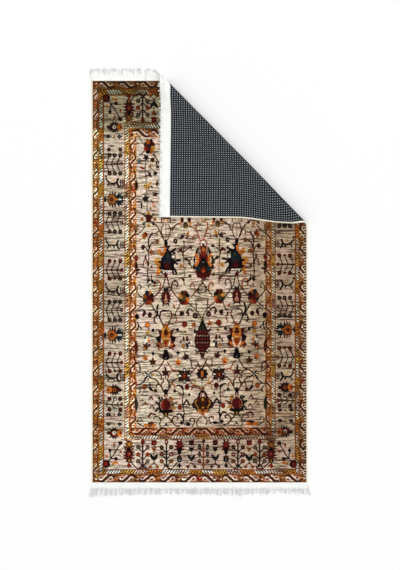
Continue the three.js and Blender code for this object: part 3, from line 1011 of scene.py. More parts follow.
# Stems of the field on both sides: for each yarn, widths and the places that they run through,
# across from the middle line. Later ones lie over earlier ones.
STEMS = (
    # yarn, (width, places)
    ("stone", (
        (4.2, (208, 442), (209, 412), (206, 384), (206, 360), (203, 300), (202, 262)),
        (3.4, (0, 210), (0, 160)), (3.6, (68, 104), (67, 60), (64, 22), (68, 0)),
        (3.8, (0, -364), (0, -402)),
    )),
    ("pink", (
        (4.8, (66, 70), (60, 56), (64, 48)),
    )),
    ("brown", (
        (4.8, (178, 472), (170, 456), (162, 446), (160, 420)),
        (3.8, (196, 424), (184, 415), (178, 408), (172, 400)), (3.8, (188, 300), (180, 288), (172, 274)),
        (4.8, (182, 220), (166, 205), (154, 184), (146, 166), (138, 152)),
        (4.8, (111, 186), (104, 201), (92, 212), (80, 216)),
        (4.4, (170, 147), (183, 144), (190, 132), (196, 116)), (4.6, (217, 128), (206, 124), (198, 110)),
        (4, (98, 174), (84, 173), (76, 176)), (5.2, (218, 56), (214, 74), (207, 84), (201, 72), (199, 60)),
        (3.6, (170, 14), (140, 15), (108, 13), (92, 15)),
        (4.8, (136, 12), (142, -12), (152, -30), (162, -42), (176, -56)),
        (4.8, (127, 12), (121, -14), (112, -30), (98, -50), (86, -62)),
        (4.8, (112, -26), (110, -8), (103, 3), (94, 3), (89, -8), (92, -19)),
        (4.4, (-4, -2), (10, -18), (24, -38), (40, -56)), (4.6, (80, -80), (86, -96), (96, -112)),
        (4.8, (141, -292), (151, -309), (160, -321), (174, -328), (186, -334)),
        (4.8, (172, -330), (158, -334), (150, -346), (151, -361)),
        (4.8, (246, -324), (232, -334), (214, -338)),
        (4.6, (46, -288), (34, -292), (20, -292), (13, -304), (5, -322)),
        (4.4, (37, -292), (39, -306), (35, -320)), (4.8, (44, -340), (32, -328), (22, -316), (14, -300)),
        (5.2, (182, -357), (170, -361), (160, -374), (148, -390), (138, -410)),
        (5.2, (83, -357), (98, -360), (110, -372), (119, -389), (130, -410)),
        (5, (169, -390), (166, -380), (156, -377)),
        (5.2, (129, -496), (118, -508), (106, -522), (96, -531), (82, -532)),
    )),
    ("black", (
        (4.8, (196, 340), (195, 348), (189, 352), (182, 347)), (5.2, (46, 62), (48, 76), (56, 82)),
        (5.4, (186, -84), (174, -106), (160, -126), (152, -142), (141, -164)),
        (7.2, (162, -86), (166, -100), (165, -116), (168, -128)),
        (5.4, (174, -128), (176, -146), (170, -153)),
        (5.4, (155, -132), (153, -114), (144, -106), (132, -106)),
        (5.4, (233, -108), (222, -104), (211, -108), (207, -120)),
        (5.4, (57, -116), (52, -104), (43, -100), (32, -108)), (4.8, (238, -150), (234, -162), (240, -180)),
        (4.8, (236, -164), (226, -168), (223, -176)), (4.8, (30, -180), (26, -188), (17, -184)),
        (5, (122, -386), (121, -372), (128, -362)), (5, (208, -360), (222, -374), (242, -384)),
        (4.8, (68, -412), (72, -440), (68, -468), (66, -486), (69, -516)),
        (6.8, (92, -490), (84, -487), (75, -492), (70, -504)),
    )),
    ("olive", (
        (4.2, (212, 481), (225, 470), (238, 460)), (3.6, (232, 540), (226, 522), (214, 505)),
        (4, (246, 272), (236, 258), (222, 250), (208, 244)), (4.4, (209, 206), (224, 186), (242, 172)),
        (3.8, (238, 210), (240, 190), (246, 168)), (4.6, (165, 168), (166, 182), (156, 187)),
        (4.8, (67, 152), (66, 134), (68, 112)), (3.8, (38, 92), (44, 72), (38, 54)),
        (4.6, (239, -38), (238, -20), (231, -11), (225, -16), (226, -27)),
        (4.4, (214, -80), (228, -94), (246, -110)), (4.6, (52, -76), (38, -90), (20, -107), (3, -134)),
        (3.8, (24, -68), (0, -67), (-24, -68)), (4.2, (22, -76), (21, -104)),
        (3.8, (100, -404), (86, -408), (76, -418)),
        (3.8, (134, -494), (148, -506), (156, -524), (150, -538)),
        (4.8, (178, -506), (175, -500), (165, -498), (156, -502), (152, -512), (157, -524)),
        (4.6, (222, -510), (225, -505), (232, -505), (238, -513), (235, -523), (226, -528), (216, -534)),
        (4.6, (2, -498), (12, -506), (20, -520), (16, -532)),
    )),
    ("plum", (
        (5.8, (168, 442), (166, 420)), (4, (172, 322), (160, 332), (150, 350)),
        (6.2, (184, 179), (189, 170), (196, 158), (198, 144)), (4, (44, 124), (56, 120), (68, 108)),
        (4.2, (132, -106), (118, -107), (112, -118)),
    )),
    ("maroon", (
        (4.8, (172, 178), (184, 175)), (5.8, (88, 108), (78, 120), (70, 104), (70, 96)),
        (5.4, (250, -322), (246, -305), (238, -301), (230, -308), (228, -328)),
        (5.2, (150, -389), (149, -376), (142, -368), (144, -358)),
        (6.8, (196, -498), (192, -490), (184, -487), (172, -490)),
        (5.4, (92, -508), (88, -502), (96, -497), (106, -501), (110, -512), (106, -522)),
        (4.8, (43, -512), (43, -505), (35, -503), (28, -508), (28, -520), (35, -532)),
    )),
    ("charcoal", (
        (4, (210, 388), (196, 394), (188, 404)), (5.2, (238, 293), (230, 295), (223, 289), (222, 270)),
        (4, (66, -486), (58, -490)),
    )),
    ("rust", (
        (4.4, (5, 150), (12, 168), (19, 186), (30, 198), (44, 203)),
        (4.4, (18, 184), (22, 204), (15, 215), (7, 211)), (4.4, (11, 168), (24, 171), (33, 166), (33, 153)),
        (5.2, (156, -28), (153, -10), (159, 3), (168, 5), (176, -5), (174, -18)),
        (4.8, (26, -36), (27, -18), (34, -8), (41, -10), (42, -20)),
        (4.4, (128, -296), (117, -312), (106, -326), (84, -332)),
        (4.4, (126, -358), (121, -342), (112, -330), (98, -326)),
        (5, (113, -376), (104, -379), (100, -392)), (4.8, (250, -360), (242, -370), (243, -388)),
        (4.8, (3, -402), (14, -386), (26, -382), (36, -386), (37, -399)),
    )),
    ("brown", (
        (4.4, (198, 146), (196, 120), (196, 92), (197, 62), (200, 34), (197, 2)),
        (4.8, (240, -38), (228, -54), (216, -62)),
        (4.8, (112, -112), (113, -130), (120, -146), (126, -162)),
        (4.8, (248, -391), (236, -392), (228, -400), (231, -412)),
    )),
    ("gold", (
        (4.2, (26, -384), (24, -370), (30, -360)),
    )),
    ("rust", (
        (4.8, (112, -126), (104, -119), (97, -126), (93, -140), (98, -151)),
        (4.2, (24, -384), (40, -372), (46, -362)),
    )),
)

# Leaves, fruits and small blooms of the field on both sides, of each kind in turn
SPRIGS = (
    # kind, (yarn, size, turn, across, along)
    ("beak", (
        ("maroon", 24, 0, 68, 4), ("black", 26, 180, 184, 6), ("black", 17, 200, 14, -36),
        ("black", 27, 180, 190, -392), ("black", 26, 0, 72, -394),
    )),
    ("fruit", (
        ("grey", 14, 0, 232, 445), ("brown", 13, 0, 182, 449), ("umber", 12, 0, 165, 148),
        ("plum", 13, 0, 217, 127), ("charcoal", 9, 0, 57, 83), ("olive", 9, 0, 44, 21),
        ("black", 15, 0, 240, -129), ("plum", 14, 0, 192, -122), ("charcoal", 14, 0, 74, -117),
        ("orange", 17, 0, 201, -160), ("red", 18, 0, 64, -157), ("gold", 11, 0, 68, -238),
        ("rust", 15, 0, 212, -388), ("brown", 10, 0, 171, -402), ("charcoal", 9, 0, 100, -403),
        ("maroon", 16, 0, 55, -388), ("red", 14, 0, 81, -463),
    )),
    ("chevron", (
        ("maroon", 20, 0, 188, -429), ("pink", 17, 0, 80, -428), ("umber", 21, 0, 208, -450),
        ("black", 16, 0, 132, -528),
    )),
    ("ring", (
        ("black", 17, 0, 98, 149), ("gold", 15, 0, 77, 56), ("plum", 20, 0, 25, -125),
    )),
    ("diamond", (
        ("black", 14, 0, 180, -265), ("black", 14, 0, 88, -262),
    )),
    ("arch", (
        ("black", 22, 0, 57, -446), ("maroon", 15, 0, 184, -462),
    )),
    ("leaf", (
        ("olive", 18, 100, 176, 468), ("red", 24, -70, 221, 419), ("plum", 28, -30, 193, 395),
        ("brown", 26, 10, 165, 363), ("gold", 20, 50, 191, 362), ("pink", 24, 20, 180, 283),
        ("olive", 16, -20, 190, 272), ("rust", 26, 150, 214, 164), ("charcoal", 18, 0, 195, 128),
        ("gold", 18, 40, 228, 154), ("plum", 34, 38, 71, 168), ("gold", 26, 20, 53, 176),
        ("maroon", 20, 45, 55, 163), ("maroon", 18, 0, 78, 116), ("maroon", 20, 10, 207, 92),
        ("charcoal", 24, 80, 235, 43), ("maroon", 20, 10, 240, 30), ("black", 24, 30, 197, 4),
        ("olive", 12, 30, 202, 12), ("stone", 18, 10, 196, -16), ("rust", 20, -20, 103, -92),
        ("maroon", 26, 8, 214, -118), ("plum", 16, 60, 166, -126), ("brown", 24, -6, 51, -116),
        ("brown", 14, 30, 195, -174), ("gold", 17, 90, 61, -184), ("ivory", 26, 24, 207, -219),
        ("orange", 24, -8, 197, -216), ("grey", 14, 0, 213, -262), ("charcoal", 15, 0, 210, -206),
        ("plum", 18, 20, 78, -221), ("plum", 20, 10, 68, -209), ("brown", 26, -8, 55, -210),
        ("navy", 26, -20, 55, -234), ("black", 15, 70, 56, -246), ("ivory", 16, -10, 46, -238),
        ("charcoal", 15, 80, 18, -266), ("black", 19, 60, 157, -428), ("umber", 20, -60, 113, -428),
        ("black", 20, 120, 166, -447), ("black", 18, 50, 168, -476), ("umber", 20, -100, 96, -446),
        ("gold", 14, -40, 108, -466), ("black", 16, 0, 98, -122),
    )),
    ("maple", (
        ("charcoal", 24, -30, 205, 456), ("black", 19, 150, 172, 400), ("yellow", 24, 80, 205, 351),
        ("plum", 19, -50, 172, 322), ("charcoal", 26, 60, 209, 305), ("umber", 20, 0, 187, 108),
        ("plum", 15, 80, 42, 126), ("rust", 20, 20, 31, -160), ("gold", 18, 90, 201, -188),
        ("brown", 26, 20, 208, -240), ("orange", 23, 60, 210, -281), ("brown", 28, 0, 181, -298),
        ("orange", 27, 0, 88, -299), ("plum", 27, -20, 58, -279), ("plum", 30, 0, 134, -338),
    )),
    ("dot", (
        ("ivory", 8, 0, 236, 466), ("cream", 7, 0, 202, 541), ("rust", 8, 0, 190, 425),
        ("rust", 19, 0, 209, 173), ("maroon", 9, 0, 206, 175), ("ivory", 8, 0, 95, 174),
        ("ivory", 5, 0, 66, 173), ("cream", 9, 0, 80, 101), ("brown", 9, 0, 186, 55),
        ("olive", 8, 0, 66, 87), ("pink", 9, 0, 209, 72), ("brown", 5, 0, 228, -80),
        ("brown", 6, 0, 60, -184), ("black", 12, 0, 90, -178), ("black", 12, 0, 180, -179),
        ("orange", 10, 0, 212, -246), ("navy", 10, 0, 47, -226), ("red", 8, 0, 86, -302),
        ("maroon", 9, 0, 242, -300), ("black", 7, 0, 137, -317), ("black", 10, 0, 47, -417),
        ("rust", 6, 0, 221, -417), ("cream", 6, 0, 207, -458), ("cream", 7, 0, 132, -536),
    )),
    ("leaf", (
        ("olive", 13, 0, 177, 106), ("brown", 13, -20, 25, -166), ("maroon", 18, -60, 194, -234),
        ("maroon", 14, 40, 205, -286), ("stone", 16, 180, 134, -356),
    )),
)


# Drawing the layout. The field's middle line lies a little to the right, and its right half is a
# little narrower and higher than its left one.
MIDDLE_LINE = 9
RIGHT_SHARE = 0.965
FIELD_DRIFT = 6


def field_pens(cartoon, across, along, turn=0):
    """A pen at a place of the field's left half and one at its mirrored place."""
    left = Pen(cartoon, MIDDLE_LINE - across, along, -1, turn)
    right = Pen(cartoon, MIDDLE_LINE + across * RIGHT_SHARE, along + FIELD_DRIFT, 1, turn)
    return left, right


def border_insets():
    """How far in from each edge of the face each band starts, and last the field."""
    widths = np.array([band[2:] for band in BANDS], float)
    return np.vstack([np.zeros(4), np.cumsum(widths, axis=0)])


def weave_bands(cartoon):
    """Lays the bands' grounds and their slanting bars, mitred at the corners."""
    u, v = np.meshgrid(cartoon.across, cartoon.along)
    half_width, half_length = FACE_WIDTH / 2, FACE_LENGTH / 2
    insets = border_insets()
    depths = [u + half_width, half_width - u, v + half_length, half_length - v]
    for number, ((kind, ground, *_), start, end) in enumerate(zip(BANDS, insets, insets[1:])):
        inside = np.all([depth >= low for depth, low in zip(depths, start)], axis=0)
        beyond = np.all([depth >= low for depth, low in zip(depths, end)], axis=0)
        ring = inside & ~beyond
        cartoon.knots[ring] = YARN_NUMBER[ground]
        shares = [(depth - low) / (high - low) for depth, low, high in zip(depths, start, end)]
        nearest = np.argmin(np.stack(shares), axis=0)
        if kind == "barber":
            end_run = u - BARBER_MIRRORS[number]
            for side, run in enumerate((v, v, end_run, end_run)):
                width = end[side] - start[side]
                band, strip = ring & (nearest == side), "side" if side < 2 else "end"
                weave_barber(cartoon, band, strip, run, shares[side] * width, width, BARBER_LIGHTS[number])


def weave_barber(cartoon, band, strip, run, depth, width, light_yarns):
    """Slanting bars, light and dark in turn, between two brown lines. They rise towards the middle
    line, and at both ends of the rug they are mirrored."""
    edge = BARBER_EDGE[strip] * width
    rising = -1 if strip == "side" else np.where(run < 0, -1, 1)
    place = (run + rising * BARBER_SLOPE[strip] * depth) / BARBER["pitch"]
    bar = np.floor(place).astype(int)
    light = place - bar < BARBER["light share"]
    inner = band & (depth > edge) & (depth < width - edge)
    for part, yarns, run in (
        (light, light_yarns, BARBER["lights in a row"]), (~light, BARBER_DARKS, BARBER["darks in a row"]),
    ):
        numbers = np.array([YARN_NUMBER[yarn] for yarn in yarns])
        cartoon.knots[inner & part] = numbers[bar // run % len(numbers)][inner & part]
    for share in BARBER_LINES:
        cartoon.knots[band & (np.abs(depth - width * share) < BARBER["line"])] = YARN_NUMBER["brown"]


def weave_wave(pen):
    """One wave of the vine: a dark stroke that hooks over at both ends, between two pale hooks."""
    for way in (-1, 1):
        half = pen.moved(0, 0, 0 if way > 0 else 180)
        half.curve("cream", 5, [(-2, -12), (7, -5), (15, 3), (22, 4), (26, -1)])
        half.curve("pink", 4.6, [(26, -1), (24, -7), (18, -8), (12, -10)])
        half.dot("maroon", 7, 5, 17, -3)
    stroke = [(-30, -7), (-22, -11), (-14, -11), (-6, -6), (0, 0), (6, 6), (14, 11), (22, 11), (30, 7)]
    pen.curve("brown", 8.2 * pen.size, stroke)
    pen.curve("plum", 3.6 * pen.size, stroke)


def weave_bloom(pen, petals, heart):
    """A flower of the vine, between two pale leaves."""
    for turn in (-60, 120):
        pen.leaf("pink", 16, 8, 0, 0, turn)
    pen.dot("brown", 18, 19)
    pen.dot(petals, 15, 16)
    pen.dot(heart, 5, 5, 3, 2)
    pen.dot("plum", 6, 5, -5, -6)


def weave_vine(pen, length, width, mirrored):
    """A running vine in waves, with a bloom in every second gap, between two pairs of lines."""
    count = 2 * round(length / VINE["pitch"] / 2)
    step = length / count
    for edge in (-1, 1):
        for yarn, thick, inset in (("tan", 3, 1.2), ("brown", 2.2, 3.4)):
            y = edge * (width / 2 - inset)
            pen.line(yarn, thick, [(-length / 2, y), (length / 2, y)])
    for i in range(count):
        wave_pen, gap = [
            pen.moved(-length / 2 + place * step, 0, 0, width / VINE["width"]) for place in (i + 0.5, i)]
        wave_pen.flip = -1 if mirrored and i >= count / 2 else 1
        weave_wave(wave_pen)
        if i % 2:
            weave_bloom(gap, *VINE_BLOOMS[i // 2 % len(VINE_BLOOMS)])
        else:
            gap.dot("plum", 11, 8, -3, 6)
            gap.dot("cream", 7, 6, 3, -3)
            gap.dot("yellow", 7, 5, 4, 9)
            gap.dot("brown", 9, 6, -5, -8)


def weave_vines(cartoon):
    """The vine bands of all four sides, each from the middle of its own strip. The outer one has a
    row of short pale and dark bars along the rug's right side."""
    insets = border_insets()
    for (kind, *_), start, end in zip(BANDS, insets, insets[1:]):
        if kind != "vine":
            continue
        width = end - start
        left, right, low, high = (start + end) / 2 * (1, -1, 1, -1) + FACE_HALVES
        across, along = right - left, high - low
        centre_u, centre_v = (left + right) / 2, (low + high) / 2
        weave_vine(Pen(cartoon, left, centre_v, -1, 90), along, width[0], False)
        weave_vine(Pen(cartoon, right, centre_v, 1, 90), along, width[1], False)
        if not start.any():
            for place in np.arange(-along / 2, along / 2, BARBER["pitch"]):
                for yarn, y in (("cream", place), ("plum", place + BARBER["pitch"] / 2)):
                    Pen(cartoon, FACE_WIDTH / 2 - 4, centre_v).line(yarn, 4, [(-3, y), (2, y + 1)])
        weave_vine(Pen(cartoon, centre_u, low), across, width[2], True)
        weave_vine(Pen(cartoon, centre_u, high, -1, 180), across, width[3], True)


def weave_borders(cartoon):
    """The plants of the main border on all four sides."""
    for kind, *places in SIDE_BORDER:
        plant, *details = SIDE_PLANTS[kind]
        for across, along, side in zip(BORDER_ACROSS, places, (-1, 1)):
            plant(Pen(cartoon, across, along, side), *details)
    low, high = BORDER_ALONG
    for kind, *places in END_BORDER:
        plant, *details = END_PLANTS[kind]
        for across, side in zip(places, (-1, 1)):
            plant(Pen(cartoon, across, low, side), *details)
            plant(Pen(cartoon, across, high, -side, 180), *details)
    middle_tree(Pen(cartoon, MIDDLE_TREE, low))
    middle_tree(Pen(cartoon, MIDDLE_TREE, high, 1, 180))


def weave_sprig(pen, kind, yarn, size):
    """One leaf, fruit or small bloom."""
    half = size / 2
    if kind == "leaf":
        pen.leaf(yarn, size, size * 0.42, 0, -half)
    elif kind == "dot":
        pen.dot(yarn, size, size * 1.15)
    elif kind == "fruit":
        pen.dot("brown", size + 3, size * 1.2 + 3)
        pen.dot(yarn, size, size * 1.2)
    elif kind == "ring":
        pen.dot(yarn, size, size * 1.2)
        pen.dot("stone", size * 0.35, size * 0.4)
    elif kind == "diamond":
        pen.shield(yarn, [(0, size * 0.65), (half, 0), (0, -size * 0.65)])
    elif kind == "maple":
        maple_leaf(pen, yarn, size)
    elif kind == "beak":
        beak_leaf(pen, yarn, size)
    elif kind == "arch":
        pen.curve(yarn, size * 0.3, [(-half, -size * 0.4), (0, size * 0.4), (half, -size * 0.4)])
    elif kind == "chevron":
        pen.shield(yarn, [(0, size * 0.55), (size * 0.6, -size * 0.45), (size * 0.25, -size * 0.3), (0, 0)])


def weave_field(cartoon):
    """Stems first, then the small plants, then the flowers over them."""
    for yarn, stems in STEMS:
        for width, *places in stems:
            for pen, share in zip(field_pens(cartoon, 0, 0), (1, RIGHT_SHARE)):
                pen.curve(yarn, width, [(x * share, y) for x, y in places])
    for kind, sprigs in SPRIGS:
        for yarn, size, turn, across, along in sprigs:
            for pen in field_pens(cartoon, across, along, turn):
                weave_sprig(pen, kind, yarn, size)
    for flower, across, along, *details in FLOWERS:
        for pen in field_pens(cartoon, across, along):
            flower(pen, *details)
    for flower, across, along in MIDDLE_FLOWERS:
        flower(Pen(cartoon, across, along))


def woven_cartoon():
    cartoon = Cartoon(FACE_WIDTH, FACE_LENGTH, KNOT)
    for weave in (weave_bands, weave_vines, weave_borders, weave_field):
        weave(cartoon)
    return cartoon


# Materials. A pattern's scale is one over its real size in metres.
def linear(hex_colour):
    """An sRGB hex colour as linear numbers."""
    shares = [int(hex_colour[i : i + 2], 16) / 255 for i in (1, 3, 5)]
    return tuple(s / 12.92 if s <= 0.04045 else ((s + 0.055) / 1.055) ** 2.4 for s in shares)


def add_node(tree, kind, inputs=(), **settings):
    """Adds a node with its own settings, and returns its outputs. Its inputs come in their order or
    by name, each as a value, as another node's output, or as a list of outputs."""
    node = tree.nodes.new(kind)
    for name, value in settings.items():
        setattr(node, name, value)
    for socket, given in inputs.items() if isinstance(inputs, dict) else enumerate(inputs):
        for value in given if isinstance(given, list) else [given]:
            if isinstance(value, bpy.types.NodeSocket):
                tree.links.new(value, node.inputs[socket])
            else:
                node.inputs[socket].default_value = value
    return node.outputs


def new_material(name, **finish):
    """A material whose shader has some values set on its own sockets, with its tree and shader."""
    material = bpy.data.materials.new(name)
    material.use_nodes = True
    shader = material.node_tree.nodes["Principled BSDF"]
    for socket, value in finish.items():
        shader.inputs[socket.replace("_", " ")].default_value = value
    return material, material.node_tree, shader


def noise(tree, place, sizes, detail=3, roughness=0.6):
    """Noise on a place in metres. Its sizes are millimetres across and along, and up as across."""
    scale = tuple(METRE / size for size in (*sizes, sizes[0]))
    stretched = add_node(tree, "ShaderNodeVectorMath", (place, scale), operation="MULTIPLY")[0]
    return add_node(tree, "ShaderNodeTexNoise", {
        "Vector": stretched, "Scale": 1, "Detail": detail, "Roughness": roughness})["Fac"]


def dress(tree, shader, colour, shade, height, depth):
    """Gives a shader a colour times a shade, and a relief of 0 to 1 over a depth in millimetres."""
    shaded = add_node(tree, "ShaderNodeVectorMath", {0: colour, "Scale": shade}, operation="SCALE")[0]
    bump = add_node(tree, "ShaderNodeBump", {"Height": height, "Distance": depth / METRE})[0]
    tree.links.new(shaded, shader.inputs["Base Color"])
    tree.links.new(bump, shader.inputs["Normal"])


def woven_pile():
    """Short cut pile of heat-set polypropylene, power-loomed and singed: matt yarn with a faint
    sheen, in rows of tufts, its dye uneven from one pass of the shuttle to the next."""
    material, tree, shader = new_material(
        "short_cut_polypropylene_pile", Roughness=0.92, IOR=1.49, Specular_IOR_Level=0.12,
        Sheen_Weight=0.02, Sheen_Roughness=0.5,
    )
    place = add_node(tree, "ShaderNodeAttribute", attribute_name="flat_place")["Vector"]
    yarn = add_node(tree, "ShaderNodeAttribute", attribute_name="yarn")["Color"]
    passes = add_node(tree, "ShaderNodeMapRange", (noise(tree, place, (70, 1.9)), 0.3, 0.7, 0.84, 1.1))[0]
    tufts = add_node(tree, "ShaderNodeMapRange", (
        noise(tree, place, (1.3, 1.3), 2), 0.25, 0.75, 0.82, 1.16))[0]
    shade = add_node(tree, "ShaderNodeMath", (passes, tufts), operation="MULTIPLY")[0]
    ribs = []
    for way in add_node(tree, "ShaderNodeSeparateXYZ", (place,))[:2]:
        knots = add_node(tree, "ShaderNodeMath", (way, METRE / KNOT), operation="MULTIPLY")[0]
        ribs.append(add_node(tree, "ShaderNodeMath", (knots, 0.5), operation="PINGPONG")[0])
    across = add_node(tree, "ShaderNodeMath", (ribs[0], 0.5), operation="ADD")[0]
    rows = add_node(tree, "ShaderNodeMath", (across, ribs[1]), operation="MULTIPLY")[0]
    fibres = noise(tree, place, (0.8, 0.8), 2)
    height = add_node(tree, "ShaderNodeMath", (fibres, 0.7, rows), operation="MULTIPLY_ADD")[0]
    dress(tree, shader, yarn, shade, height, 0.9)
    return material


def felted_backing():
    """Needled polyester felt, dyed in the web: matt, with short crossed fibres. The rubber dots of
    the side on the floor are drawn on it, and those of the flap stand on the same lattice."""
    material, tree, shader = new_material(
        "needled_polyester_felt", Roughness=0.95, IOR=1.57, Specular_IOR_Level=0.15,
        Sheen_Weight=0.03, Sheen_Roughness=0.6,
    )
    place = add_node(tree, "ShaderNodeAttribute", attribute_name="flat_place")["Vector"]
    lattice = place
    for operation, value in (
        ("MULTIPLY", [METRE / pitch for pitch in DOT_PITCH]), ("FRACTION", (0, 0)),
        ("SUBTRACT", (0.5, 0.5)), ("MULTIPLY", DOT_PITCH),
    ):
        lattice = add_node(tree, "ShaderNodeVectorMath", (lattice, (*value, 0)), operation=operation)[0]
    apart = add_node(tree, "ShaderNodeVectorMath", (lattice,), operation="LENGTH")[1]
    inside = add_node(tree, "ShaderNodeMapRange", (apart, DOT["radius"] - 0.4, DOT["radius"], 1, 0))[0]
    past = add_node(tree, "ShaderNodeVectorMath", (place, (*AWAY * METRE, 0)), operation="DOT_PRODUCT")[1]
    # No dots are drawn over the tight bend of the fold: its bare dark felt is painted shade along the crease
    half = BARE_LENGTH / 2
    shaded_bend = add_node(tree, "ShaderNodeMath", (past, FOLD_START + half, half), operation="COMPARE")[0]
    drawn = add_node(tree, "ShaderNodeMath", (inside, shaded_bend), operation="SUBTRACT", use_clamp=True)[0]
    height = add_node(tree, "ShaderNodeSeparateXYZ", (place,))[2]
    below = add_node(tree, "ShaderNodeMath", (height, 0.5 / METRE), operation="LESS_THAN")[0]
    dot = add_node(tree, "ShaderNodeMath", (drawn, below), operation="MULTIPLY")[0]
    fibres = add_node(tree, "ShaderNodeMapRange", (
        noise(tree, place, (0.9, 0.9), 4, 0.7), 0.3, 0.7, 0.62, 1.4))[0]
    broad = add_node(tree, "ShaderNodeMapRange", (noise(tree, place, (60, 60)), 0.3, 0.7, 0.9, 1.12))[0]
    shade = add_node(tree, "ShaderNodeMath", (fibres, broad), operation="MULTIPLY")[0]
    felt = add_node(tree, "ShaderNodeVectorMath", {
        0: linear(FELT_COLOUR), "Scale": shade}, operation="SCALE")[0]
    mixed = add_node(tree, "ShaderNodeMix", {
        0: dot, 6: felt, 7: (*linear(DOT_COLOUR), 1)}, data_type="RGBA")[2]
    raised = add_node(tree, "ShaderNodeMath", (fibres, 0.4, dot), operation="MULTIPLY_ADD")[0]
    dress(tree, shader, mixed, 1, raised, 0.4)
    return material


def printed_dots():
    """Latex dots, screen-printed and foamed: grey, dull and a little pitted."""
    material, tree, shader = new_material(
        "screen_printed_latex_dots", Roughness=0.55, IOR=1.52, Specular_IOR_Level=0.4)
    speck = noise(tree, add_node(tree, "ShaderNodeTexCoord")["Object"], (1.2, 1.2))
    shade = add_node(tree, "ShaderNodeMapRange", (speck, 0.3, 0.7, 0.86, 1.1))[0]
    dress(tree, shader, linear(DOT_COLOUR), shade, speck, 0.15)
    return material


def yarn_material(name, colour, fibre, soil_and_shade_low, patch=(35, 35), **finish):
    """A matt yarn: fibres along it, a little uneven in colour, and darker in patches: soil on the binding
    and the web, painted shade between the strands of the fringe.
    """
    material, tree, shader = new_material(name, **finish)
    place = add_node(tree, "ShaderNodeTexCoord")["Object"]
    fine = noise(tree, place, (fibre, fibre))
    fibres = add_node(tree, "ShaderNodeMapRange", (fine, 0.3, 0.7, 0.9, 1.05))[0]
    # Darker patches: soil on the binding and the web, and on the fringe narrow streaks of painted shade
    # between the strands
    soil_and_shade = add_node(tree, "ShaderNodeMapRange", (noise(tree, place, patch, 2), 0.35, 0.65, soil_and_shade_low, 1.03))[0]
    shade = add_node(tree, "ShaderNodeMath", (fibres, soil_and_shade), operation="MULTIPLY")[0]
    dress(tree, shader, linear(colour), shade, fine, 0.25)
    return material


def overlock_yarn():
    """Textured polyester yarn, overlocked round the edge: cream and matt, its turns close together."""
    return yarn_material("textured_polyester_overlock_yarn", BINDING_COLOUR, 0.8, 0.93, Roughness=0.85,
                         IOR=1.57, Specular_IOR_Level=0.3, Sheen_Weight=0.1)


# The finish of the bleached cotton at both ends
COTTON = {"Roughness": 0.95, "IOR": 1.53, "Specular_IOR_Level": 0.2, "Sheen_Weight": 0.12}


def cotton_web():
    """Bleached cotton warps woven into a narrow web at the rug's end: unsoiled, off-white and matt."""
    return yarn_material("bleached_woven_cotton", WEB_COLOUR, 1.1, 0.95, **COTTON)


def cotton_fringe():
    """The same cotton in two loosely twisted plies: matt, a little hairy, and greyer in narrow streaks
    along its length: painted shade for the shadows between strands that hang together."""
    return yarn_material("bleached_twisted_cotton", FRINGE_COLOUR, 1.1, 0.84, (3, 14), **COTTON)


def painted_floor():
    """Plain matt white paint on a smooth board."""
    material, tree, shader = new_material("matt_white_paint", Roughness=0.9, Specular_IOR_Level=0.1)
    shader.inputs["Base Color"].default_value = (*linear(FLOOR_COLOUR), 1)
    return material


# Cloths
def new_object(name, mesh, material):
    piece = bpy.data.objects.new(name, mesh)
    bpy.context.scene.collection.objects.link(piece)
    mesh.materials.append(material)
    return piece


def mesh_from(name, places, quads, flat_places, bake_places=None):
    """A mesh of four-sided faces that keeps where its points lie in the flat layout."""
    mesh = bpy.data.meshes.new(name)
    mesh.vertices.add(len(places))
    mesh.vertices.foreach_set("co", places.astype(np.float32).ravel())
    mesh.loops.add(quads.size)
    mesh.loops.foreach_set("vertex_index", quads.astype(np.int32).ravel())
    mesh.polygons.add(len(quads))
    mesh.polygons.foreach_set("loop_start", np.arange(0, quads.size, 4, dtype=np.int32))
    mesh.update(calc_edges=True)
    mesh.polygons.foreach_set("use_smooth", np.ones(len(quads), bool))
    kept = mesh.attributes.new("flat_place", "FLOAT_VECTOR", "POINT")
    kept.data.foreach_set("vector", (flat_places / METRE).astype(np.float32).ravel())
    if bake_places is not None:
        layer = mesh.uv_layers.new(name="OFBake")
        layer.data.foreach_set("uv", bake_places[quads.ravel()].astype(np.float32).ravel())
    return mesh


def grid_quads(rows, columns):
    """Faces of a grid of points, anticlockwise from above, for points numbered row by row."""
    low = np.arange(rows - 1)[:, None] * columns + np.arange(columns - 1)
    return np.stack([low, low + 1, low + columns + 1, low + columns], axis=-1).reshape(-1, 4)


def rim_of(rows, columns):
    """The points round a grid, anticlockwise from its first one."""
    number = np.arange(rows * columns).reshape(rows, columns)
    return np.concatenate([number[0, :-1], number[:-1, -1], number[-1, :0:-1], number[:0:-1, 0]])


def wall_quads(rim, foot):
    """Faces of the wall from the points of a rim down to those of its foot."""
    return np.stack([foot, np.roll(foot, -1), np.roll(rim, -1), rim], axis=1)


def lines_over(length, cells):
    """Where the lines of a grid lie over a length of the face, from the middle."""
    return np.linspace(-length / 2, length / 2, cells + 1)


def backing_cloth(material):
    """The felt under the face: two close layers and their rim, in cells of about 8 mm."""
    u = lines_over(FACE_WIDTH, round(FACE_WIDTH / BACKING_CELL))
    v = lines_over(FACE_LENGTH, round(FACE_LENGTH / BACKING_CELL))
    flat = np.stack([grid.ravel() for grid in np.meshgrid(u, v)], axis=1)
    layout = np.concatenate([
        np.column_stack([flat, np.full(len(flat), height)]) for height in (BACKING_THICKNESS, 0)])
    shares = flat / (FACE_WIDTH, FACE_LENGTH) + 0.5
    bake = np.concatenate([shares * size + start for size, start in (BAKE_TOP, BAKE_UNDERSIDE)])
    top = grid_quads(len(v), len(u))
    rim = rim_of(len(v), len(u))
    quads = np.concatenate([top, top[:, ::-1] + len(flat), wall_quads(rim, rim + len(flat))])
    mesh = mesh_from("backing_cloth", folded(*layout.T), quads, layout, bake)
    return new_object("backing_cloth", mesh, material)


